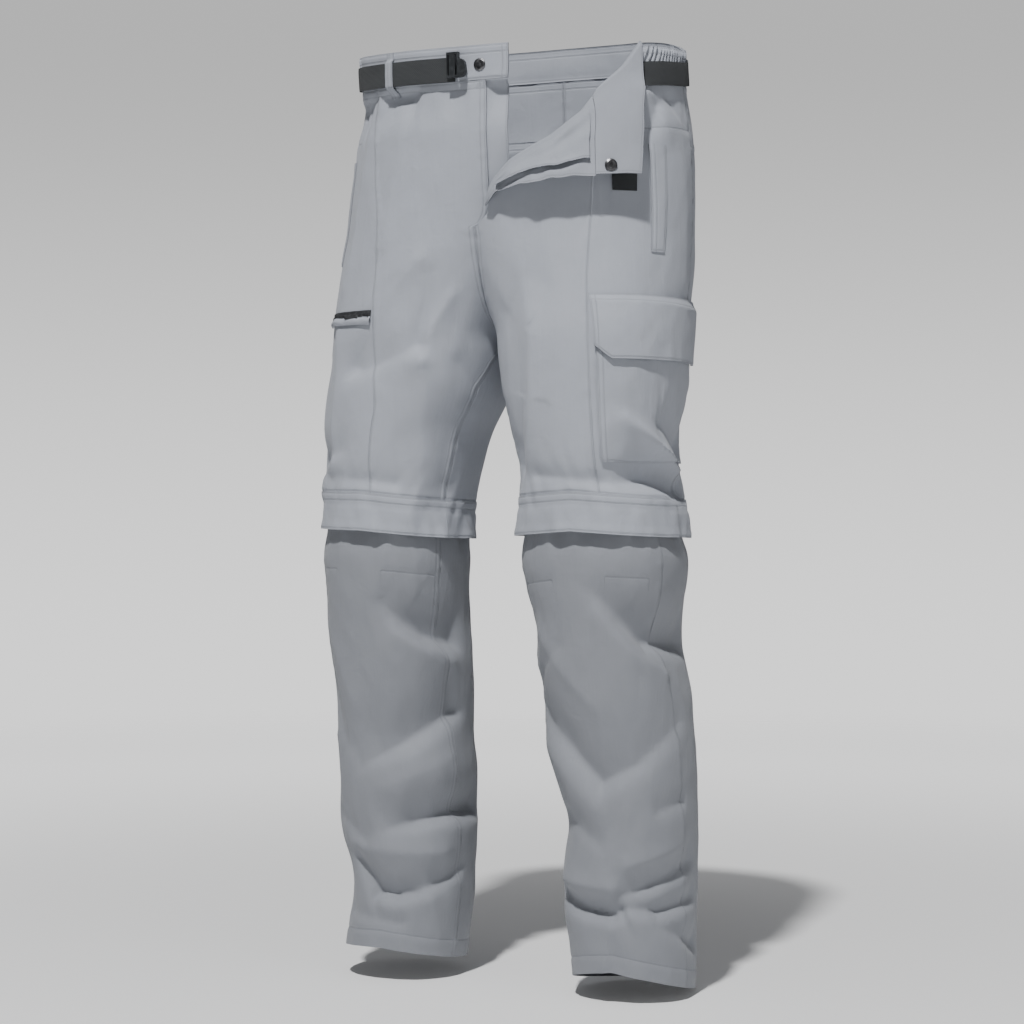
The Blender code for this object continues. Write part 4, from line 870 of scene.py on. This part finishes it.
def bandPiece(node, spans, sewn="tf", gathers=0, slant=0.0):
    faces, linings, heights = [], [], []
    for side, start, end in spans:
        cols = int(abs(end - start) * 0.0030 / (0.0014 if gathers else 0.0032))
        u, t = np.meshgrid(np.linspace(0, 1, cols + 1), np.linspace(0, 1, 15))
        first = start + slant * t
        angle = first + (end - first) * u
        z = waistTop(side, angle) - cut["bandHeight"] * t
        wave = 0.0004 * softNoise(angle / 5.0, t * 2, 51)
        if gathers:
            beat = 2 * math.pi * (gathers * u + 0.5 * softNoise(u * gathers * 0.4, t * 0.7, 52))
            wave = wave + waistband["gathers"] * (np.sin(beat) + 0.35 * np.sin(2.3 * beat + 1.0)) * (1 - 0.35 * t)
        edge = np.minimum(t, 1 - t) * cut["bandHeight"]
        wave = wave - 0.0006 * hump(edge, 0.0015) + 0.0003 * hump(edge - 0.004, 0.003)
        # the second span starts with the first one's last column
        skip = len(faces)
        for grids, out in ((faces, wave), (linings, wave - waistband["deep"])):
            grids.append(clothPoint(side, "thigh", angle, z, waistband["out"] + out)[:, skip:])
        heights.append(z[:, skip:])
    face, lining, z = (np.concatenate(grids, 1) for grids in (faces, linings, heights))
    across, down = gridLengths(face)
    makeSheet(f"{node}_cloth", node, face, lining, middleUv(across, z), edgeMarks(across, down, sewn))


def makeWaistband():
    end = float(angleAtX("right", np.array(-0.02), -0.043))
    half = seamHalf * 0.6
    bandPiece("waistband_front_right", [("right", end, 62 - half)], "atf")
    bandPiece("waistband_elastic_right", [("right", 62 + half, 128 - half)], gathers=waistband["elastic"])
    bandPiece("waistband_back", [("right", 128 + half, 180), ("left", 180, 128 + half)])
    bandPiece("waistband_elastic_left", [("left", 60.8, 128 - half)], gathers=waistband["elastic"], slant=-6.3)
    print("waistband made")


makeWaistband()


def makeUnderlap():
    rows = np.linspace(0, 5, 41)
    z = np.interp(rows, range(6), [-0.0518, -0.085, -0.115, -0.145, -0.165, -0.177])[:, None]
    reach = np.interp(rows, range(6), [1, 1, 1, 1, 0.85, 0.55])[:, None]
    u = np.linspace(0, 1, 13)[None, :]
    x = 0.006 + 0.034 * reach * u
    z = np.repeat(z, 13, 1)
    angle = angleAtX("right", z, -x)
    wave = 0.0006 * softNoise(u * 3, z / 0.02, 61) * u
    face, lining = (clothPoint("right", "thigh", angle, z, wave - under) for under in (0.0028, 0.0046))
    across, down = gridLengths(face)
    makeSheet("fly_underlap_cloth", "fly_underlap_right", face, lining, np.stack([across, z], -1),
              edgeMarks(across, down, "b"))


makeUnderlap()

# metres: how far the turned-out corner stands off, the folds' radii and the thickness of one and of two layers
corner = {"lift": 0.020, "hingeLift": 0.002, "radius": 0.0038, "bandRadius": 0.0048, "single": 0.0012, "double": 0.0026}
# the turned-out corner: column angle, share of the drop, half widths in degrees and share, rise
cornerWrinkles = (
    (34, 0.10, 5.0, 0.10, 0.0022), (29, 0.26, 4.0, 0.10, -0.0020), (24, 0.20, 4.0, 0.12, 0.0018),
    (17, 0.30, 4.0, 0.14, -0.0016), (8, 0.35, 5.0, 0.20, 0.0016), (36, 0.42, 3.0, 0.12, 0.0016),
    (30, 0.62, 4.0, 0.10, -0.0014), (20, 0.66, 4.0, 0.10, 0.0014), (12, 0.80, 4.0, 0.10, -0.0012),
    (2, 0.60, 3.0, 0.20, -0.0014), (27, 0.88, 5.0, 0.08, 0.0014), (-3, 0.40, 3.0, 0.20, 0.0012),
)


def cornerOut(columns, radius, thick, share, lift):
    bumpy = 0.0
    for column, at, wide, tall, rise in cornerWrinkles:
        bumpy = bumpy + rise * np.exp(-(((columns - column) / wide) ** 2) - ((share - at) / tall) ** 2)
    lumpy = 0.0026 * softNoise(columns / 4.2, share * 1.5, 73) * ease(share, 0.62, 0.92)
    return 2 * radius - thick + lift * share + (bumpy + lumpy) * np.where(columns < 40, 1, 0.25)


def turnedOut(node, first, last, cols, thick, radius, swell, sewn):
    columns = np.linspace(first, last, cols)
    top, foot = foldTop(columns), readTable(cornerFoot, columns)
    foot = foot + 0.0024 * softNoise(columns / 4.0, 0.7, 74) * (columns < 40)
    normal = formNormal("left", "thigh", columns, top)
    lift = swell(columns)
    faces, linings = [], []
    # over the fold line in half a turn, then down the outside
    for k in range(8):
        turn = math.radians(22.5 * k)
        point = clothPoint("left", "thigh", columns, top, radius - thick - radius * math.cos(turn))
        point[:, 2] += cut["gap"] + radius * math.sin(turn)
        away = -math.cos(turn) * normal
        away[:, 2] += math.sin(turn)
        away /= np.linalg.norm(away, axis=-1, keepdims=True)
        faces.append(point)
        linings.append(point - away * thick)
    for k in range(30):
        share = k / 29
        z = top * (1 - share) + foot * share
        seam, edge = readTable(cornerSeam, z), readTable(cornerEdge, z)
        onCloth = columns + (seam - 40) * (columns + 9) / 49
        onBand = seam + (edge - seam) * (columns - 40) / 20.5
        blend = min(1.0, share * 2)
        places = columns * (1 - blend) + np.where(columns < 40, onCloth, onBand) * blend
        out = cornerOut(columns, radius, thick, share, lift)
        faces.append(clothPoint("left", "thigh", places, z, out))
        linings.append(clothPoint("left", "thigh", places, z, out - thick))
    face, lining = np.array(faces), np.array(linings)
    across, down = gridLengths(face)
    makeSheet(f"{node}_cloth", node, face, lining, middleUv(across, -down), edgeMarks(across, down, sewn),
              innerCloth)


def cornerSwell(columns):
    return corner["hingeLift"] + (corner["lift"] - corner["hingeLift"]) * np.clip((columns + 9) / 30, 0, 1)


def makeFoldedCorner():
    turnedOut("front_corner_left", -9.0, 40 - seamHalf, 60, corner["single"], corner["radius"], cornerSwell, "f")
    turnedOut("waistband_front_left", 40 + seamHalf, 60.2, 16, corner["double"], corner["bandRadius"],
              lambda columns: corner["lift"] + 0 * columns, "bf")
    share, u = np.meshgrid(np.linspace(0, 1, 25), np.linspace(0, 1, 40), indexing="ij")
    columns = 2 + 36 * u
    foot = readTable(facingFoot, columns) + 0.0022 * softNoise(columns / 4.5, 0.3, 71)
    z = (foldTop(columns) - 0.003) * (1 - share) + foot * share
    drop = np.clip((foldTop(columns) - z) / (foldTop(columns) - readTable(cornerFoot, columns)), 0, 1)
    places = columns + (readTable(cornerSeam, z) - 40) * (columns + 9) / 49 * np.minimum(1, drop * 2)
    out = cornerOut(columns, corner["radius"], corner["single"], drop, cornerSwell(columns))
    out = out + 0.0006 + 0.0042 * share**2 + 0.0016 * softNoise(columns / 5.0, share * 3, 72) * share
    face, lining = (clothPoint("left", "thigh", places, z, out + thick) for thick in (0.0010, 0.0))
    across, down = gridLengths(face)
    makeSheet("fly_facing_cloth", "fly_facing_left", face, lining, np.stack([across, -down], -1),
              edgeMarks(across, down, "f"), facingCloth)
    print("folded corner made")


makeFoldedCorner()


def patch(node, side, angle, z, out, thick, sewn, material=outerCloth):
    # a small piece that lies on the thigh
    face = clothPoint(side, "thigh", angle, z, out + thick)
    across, down = gridLengths(face)
    makeSheet(f"{node}_cloth", node, face, clothPoint(side, "thigh", angle, z, out), middleUv(across, z),
              edgeMarks(across, down, sewn), material)


welt = {"top": -0.1205, "foot": -0.236, "out": 0.0004, "thick": 0.0014}
cargo = {"front": 25.0, "back": 117.0, "top": -0.282, "pocketTop": -0.2935, "flap": 0.069, "foot": -0.458,
         "chamfer": 0.014, "pleat": 68.0, "out": 0.0019, "thick": 0.0012, "flapThick": 0.0018}


def cargoSwell(angle, z):
    across = np.clip((angle - cargo["front"]) / (cargo["back"] - cargo["front"]), 0, 1)
    down = np.clip((-0.286 - z) / 0.17, 0, 1)
    return 0.0030 * np.sin(math.pi * across) ** 0.5 * np.sin(math.pi * (0.12 + 0.80 * down))


def makePockets():
    for side in ("left", "right"):
        z, u = np.meshgrid(np.linspace(welt["top"], welt["foot"], 36), np.linspace(0, 1, 7), indexing="ij")
        start, end = np.interp(-z, [0.10, 0.236], [61, 59.5]), np.interp(-z, [0.10, 0.236], [70.5, 68.5])
        edge = np.minimum(np.minimum(u, 1 - u) * 0.016, np.abs(z - welt["foot"]))
        out = welt["out"] + 0.0003 * softNoise(z / 0.012, u * 2, 81) * u
        patch(f"hand_pocket_welt_{side}", side, start + (end - start) * u, z, out,
              welt["thick"] - 0.0006 * hump(edge, 0.0015), "abf")
    first, last = cargo["front"] + 1, cargo["back"] - 1
    angle, z = np.meshgrid(np.linspace(first, last, 46), np.linspace(cargo["pocketTop"], cargo["foot"], 50))
    pleat = hump(angle - cargo["pleat"] + (z + 0.40) * 40, 0.9) * ease(-z, 0.36, 0.385)
    out = cargo["out"] + cargoSwell(angle, z) - 0.0016 * pleat + 0.0006 * softNoise(angle / 7, z / 0.02, 82)
    edge = np.minimum(np.minimum(angle - first, last - angle) * 0.0016, z - cargo["foot"])
    out = out - 0.0007 * hump(edge, 0.002) + 0.0004 * softNoise(angle / 4, z / 0.008, 83) * hump(edge, 0.01)
    patch("cargo_pocket_left", "left", angle, z, out, cargo["thick"], "abf")
    u, t = np.meshgrid(np.linspace(0, 1, 50), np.linspace(0, 1, 26))
    angle = cargo["front"] + (cargo["back"] - cargo["front"]) * u
    cutOff = cargo["chamfer"] * np.clip(1 - (angle - cargo["front"]) / 9.0, 0, 1)
    z = cargo["top"] - (cargo["flap"] - cutOff) * t
    over = cargo["out"] + 0.0014 + cargo["thick"] + cargoSwell(angle, z) + 0.0022 * t**2 * np.sin(math.pi * u) ** 0.5
    out = 0.0006 + (over - 0.0006) * ease(t, 0.02, 0.16)
    edge = np.minimum(np.minimum(u, 1 - u) * 0.15, np.minimum(t, 1 - t) * 0.07)
    out = out + 0.0005 * softNoise(angle / 6, z / 0.015, 84) - 0.0005 * hump(edge, 0.0016)
    patch("cargo_flap_left", "left", angle, z, out, cargo["flapThick"], "abtf")
    print("pockets made")


makePockets()

# places by height and angle, then metres: the tape's half width, the lip and one tooth of the coil
thighZip = {"z": -0.2975, "start": 17.0, "end": 58.0, "tapeHalf": 0.0065, "tapeOut": 0.0009, "tapeThick": 0.0008,
            "lip": 0.0084, "lipOut": 0.0017, "lipThick": 0.0007, "roll": 0.0019, "coilOut": 0.0018, "pitch": 0.0016}
tooth = {"foot": (0.0005, 0.0028), "head": (0.0003, 0.0022), "tall": 0.0011}


def thighFrame(side, angle, z, out):
    point = Vector(clothPoint(side, "thigh", angle, z, out))
    normal = Vector(formNormal(side, "thigh", np.asarray(angle, float), np.asarray(z, float)))
    up = (Vector((0, 0, 1)) - normal * normal.z).normalized()
    turn = Matrix((up.cross(normal), up, normal)).transposed()
    return Matrix.Translation(point) @ turn.to_4x4()


def makeThighZip():
    start, end = thighZip["start"], thighZip["end"]
    heights = thighZip["z"] + np.linspace(thighZip["tapeHalf"], -thighZip["tapeHalf"], 9)
    angle, z = np.meshgrid(np.linspace(start, end, 40), heights)
    patch("thigh_zip_tape", "right", angle, z, thighZip["tapeOut"], thighZip["tapeThick"], "tf", zipPlastic)
    # the slit's lower lip of cloth, rolled out over the coil
    share = np.linspace(0, 1, 9)
    heights = thighZip["z"] - 0.0004 - thighZip["lip"] * share
    angle, z = np.meshgrid(np.linspace(start - 0.6, end + 0.6, 60), heights)
    share = share[:, None]
    z = z + 0.0007 * softNoise(angle / 3.0, z * 0, 91) * (1 - share)
    roll = thighZip["roll"] * np.sin(math.pi * share) * (1 + 0.4 * softNoise(angle / 4.5, z * 0, 92))
    face, lining = (clothPoint("right", "thigh", angle, z, thighZip["lipOut"] + roll + thick)
                    for thick in (thighZip["lipThick"], 0.0))
    across, down = gridLengths(face)
    makeSheet("thigh_zip_lip", None, face, lining, np.stack([across, down], -1), {})
    # the coil: one tooth modelled, then copied along the tape, each copy with its own place in one mesh
    outline = [(x * side, y * end, h) for (x, y), h in ((tooth["foot"], 0), (tooth["head"], tooth["tall"]))
               for side, end in ((-1, -1), (1, -1), (1, 1), (-1, 1))]
    box = ((3, 2, 1, 0), (4, 5, 6, 7), (0, 1, 5, 4), (1, 2, 6, 5), (2, 3, 7, 6), (3, 0, 4, 7))
    count = int((end - start) * 0.0018 / thighZip["pitch"])
    points, faces = [], []
    for k in range(count):
        place = thighFrame("right", start + 1 + (end - start - 2) * k / (count - 1), thighZip["z"], thighZip["coilOut"])
        faces += [tuple(len(points) + i for i in face) for face in box]
        points += [tuple(place @ Vector(corner)) for corner in outline]
    addMesh("thigh_zip_coil", points, faces, zipPlastic, 30)
    print("thigh zip made")


makeThighZip()


belt = {"below": 0.0245, "width": 0.026, "out": 0.0026, "thick": 0.0016, "tailTop": -0.0660, "tail": 0.106,
        "tailOut": 0.0006}


def beltHeight(side, angle):
    level = waistTop(side, angle) - belt["below"]
    if side == "left":
        level = level - 0.006 * np.clip((110 - angle) / 50, 0, 1)
    return level


def makeBelt():
    faces, linings = [], []
    for side, start, end, cols in (("right", 5.5, 180, 150), ("left", 180, 58.5, 110)):
        angle = np.linspace(start, end, cols + 1)[(1 if side == "left" else 0):]
        across = np.linspace(0.5, -0.5, 9)[:, None]
        z = beltHeight(side, angle)[None, :] + across * belt["width"]
        places = np.repeat(angle[None, :], 9, 0)
        out = belt["out"] + 0.0004 * softNoise(places / 14.0, across, 91) - 0.0003 * (2 * across) ** 8
        faces.append(clothPoint(side, "thigh", places, z, out + belt["thick"]))
        linings.append(clothPoint(side, "thigh", places, z, out))
    share, u = np.linspace(0, 1, 40)[:, None], np.linspace(0, 1, 9)[None, :]
    z = np.repeat(belt["tailTop"] - belt["tail"] * share, 9, 1)
    angle = 46.5 - 4.0 * share + 10.5 * u
    tailFace, tailLining = (clothPoint("left", "thigh", angle, z, belt["tailOut"] + thick)
                            for thick in (belt["thick"], 0.0))
    for name, node, face, lining, held, restsOn in (
        ("belt_webbing", "belt", np.concatenate(faces, 1), np.concatenate(linings, 1), "stretched", "waistband_back"),
        ("belt_tail_webbing", "belt_tail", tailFace, tailLining, "hung", "side_left"),
    ):
        uv = np.stack(gridLengths(face), -1)
        makeSheet(name, node, face, lining, uv, {}, webbing)
    print("belt made")


makeBelt()

loop = {"half": math.degrees(0.005 / 0.150), "thick": 0.0012, "over": belt["out"] + belt["thick"] + 0.0003}


def makeLoops():
    for node, side, centre in (("belt_loop_front_right", "right", 34.0), ("belt_loop_back_right", "right", 146.0),
                               ("belt_loop_back_left", "left", 146.0)):
        # flat on the band, up over the belt and back down
        over = loop["over"]
        drops = np.array([0.001, 0.0088, 0.0102, 0.0245, 0.0387, 0.0402, 0.0490])
        reach = np.array([0.0013, 0.0016, over, over + 0.0008, over, 0.0016, 0.0013])
        fine = np.linspace(drops[0], drops[-1], 41)
        outs = np.convolve(np.pad(np.interp(fine, drops, reach), 1, mode="edge"), [0.25, 0.5, 0.25], "valid")
        z = np.repeat((waistTop(side, centre) - fine)[:, None], 7, 1)
        u = np.linspace(-1, 1, 7)[None, :]
        angle = centre + loop["half"] * u + 0 * z
        out = outs[:, None] - 0.0003 * u**4
        face, lining = (clothPoint(side, "thigh", angle, z, out + thick) for thick in (loop["thick"], 0.0))
        across, down = gridLengths(face)
        makeSheet(f"{node}_cloth", node, face, lining, np.stack([across, z], -1), edgeMarks(across, down, "ab"))
    print("belt loops made")


makeLoops()

# hard pieces that keep their CAD shape
for node, material in (("belt_buckle", bucklePlastic), ("snap_stud_right", snapMetal), ("snap_socket_left", snapMetal),
                       ("thigh_zip_slider", zipPlastic), ("thigh_zip_pull", zipPlastic),
                       ("knee_zip_left", zipPlastic), ("knee_zip_right", zipPlastic)):
    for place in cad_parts[node].material_slots:
        place.material = material

# plain floor that fades into the backdrop, soft studio light, camera at the photograph's angle
stage = {"floorZ": -1.033, "floorRadius": 4.2, "fadeFrom": 2.6, "fadeTo": 4.0, "glowFrom": 0.80, "glowTo": 2.8,
         "floorGlow": 0.022, "floorGlowFar": 0.76, "floor": (0.90, 0.90, 0.90, 1), "horizon": (1.30, 1.30, 1.30, 1),
         "above": (0.60, 0.60, 0.60, 1), "ambient": 0.135, "ambientColour": (0.80, 0.82, 0.86, 1),
         "aim": (0.0, 0.0, -0.40)}
lamps = {"key": (282.0, 0.26, (0.376, -2.49, 3.60)), "fill": (8.0, 1.6, (2.7, -1.1, 0.2))}
lens = {"focalPixels": 2430, "imagePixels": 1024, "sensor": 36, "eye": (1.0911, -2.4698, -0.51), "turn": 24}


def makeFloor():
    bpy.ops.object.select_all(action="DESELECT")
    bpy.ops.mesh.primitive_circle_add(vertices=96, radius=stage["floorRadius"], fill_type="NGON",
                                      location=(0, 0, stage["floorZ"]))
    floor = bpy.context.object
    floor.name = "studio_floor"
    bpy.ops.object.transform_apply(location=True)
    material, tree, shader = startMaterial("paleFloor", 0.9)
    coords, mottle = placeMottle(tree, 1.5)
    paler = tuple(c * 1.02 for c in stage["floor"][:3]) + (1,)
    tree.links.new(mixColour(tree, mottle["Slow"], stage["floor"], paler), shader.inputs["Base Color"])
    length = tree.nodes.new("ShaderNodeVectorMath")
    length.operation = "LENGTH"
    tree.links.new(coords, length.inputs[0])
    away = length.outputs["Value"]
    tree.links.new(rangeNode(tree, away, stage["fadeFrom"], stage["fadeTo"], 1.0, 0.0), shader.inputs["Alpha"])
    shader.inputs["Emission Color"].default_value = (1, 1, 1, 1)
    # painted light: the flat floor glows a little near the trousers, lightening their cast shadows, and much more
    # farther back, where a backdrop would curve up into the light; only the camera sees the glow
    glow = rangeNode(tree, away, stage["glowFrom"], stage["glowTo"], stage["floorGlow"], stage["floorGlowFar"])
    seen = tree.nodes.new("ShaderNodeLightPath").outputs["Is Camera Ray"]
    tree.links.new(mathNode(tree, "MULTIPLY", glow, seen), shader.inputs["Emission Strength"])
    floor.data.materials.append(material)


def makeWorld():
    world = bpy.data.worlds.new("studio")
    bpy.context.scene.world = world
    world.use_nodes = True
    tree = world.node_tree
    background = tree.nodes["Background"]
    rise = rangeNode(tree, splitNode(tree, tree.nodes.new("ShaderNodeTexCoord").outputs["Generated"])[2],
                     -0.07, 0.20, 0.0, 1.0)
    tree.links.new(mixColour(tree, rise, stage["horizon"], stage["above"]), background.inputs["Color"])
    ambient = tree.nodes.new("ShaderNodeBackground")
    ambient.inputs["Color"].default_value = stage["ambientColour"]
    ambient.inputs["Strength"].default_value = stage["ambient"]
    seen = tree.nodes.new("ShaderNodeLightPath").outputs["Is Camera Ray"]
    mix = tree.nodes.new("ShaderNodeMixShader")
    for k, value in enumerate((seen, ambient.outputs[0], background.outputs[0])):
        tree.links.new(value, mix.inputs[k])
    tree.links.new(mix.outputs[0], tree.nodes["World Output"].inputs["Surface"])


def makeStage():
    makeFloor()
    makeWorld()
    for name, (power, size, place) in lamps.items():
        light = bpy.data.lights.new(name, "AREA")
        light.shape = "DISK"
        light.size = size
        light.energy = power
        lamp = addObject(name, light)
        lamp.location = place
        lamp.rotation_euler = (Vector(place) - Vector(stage["aim"])).to_track_quat("Z", "Y").to_euler()
    camera = bpy.data.cameras.new("camera")
    camera.lens = lens["focalPixels"] / lens["imagePixels"] * lens["sensor"]
    camera.sensor_width = lens["sensor"]
    eye = addObject("camera", camera)
    eye.location = lens["eye"]
    eye.rotation_euler = (math.pi / 2, 0, math.radians(lens["turn"]))
    bpy.context.scene.camera = eye
    print("stage made")


makeStage()
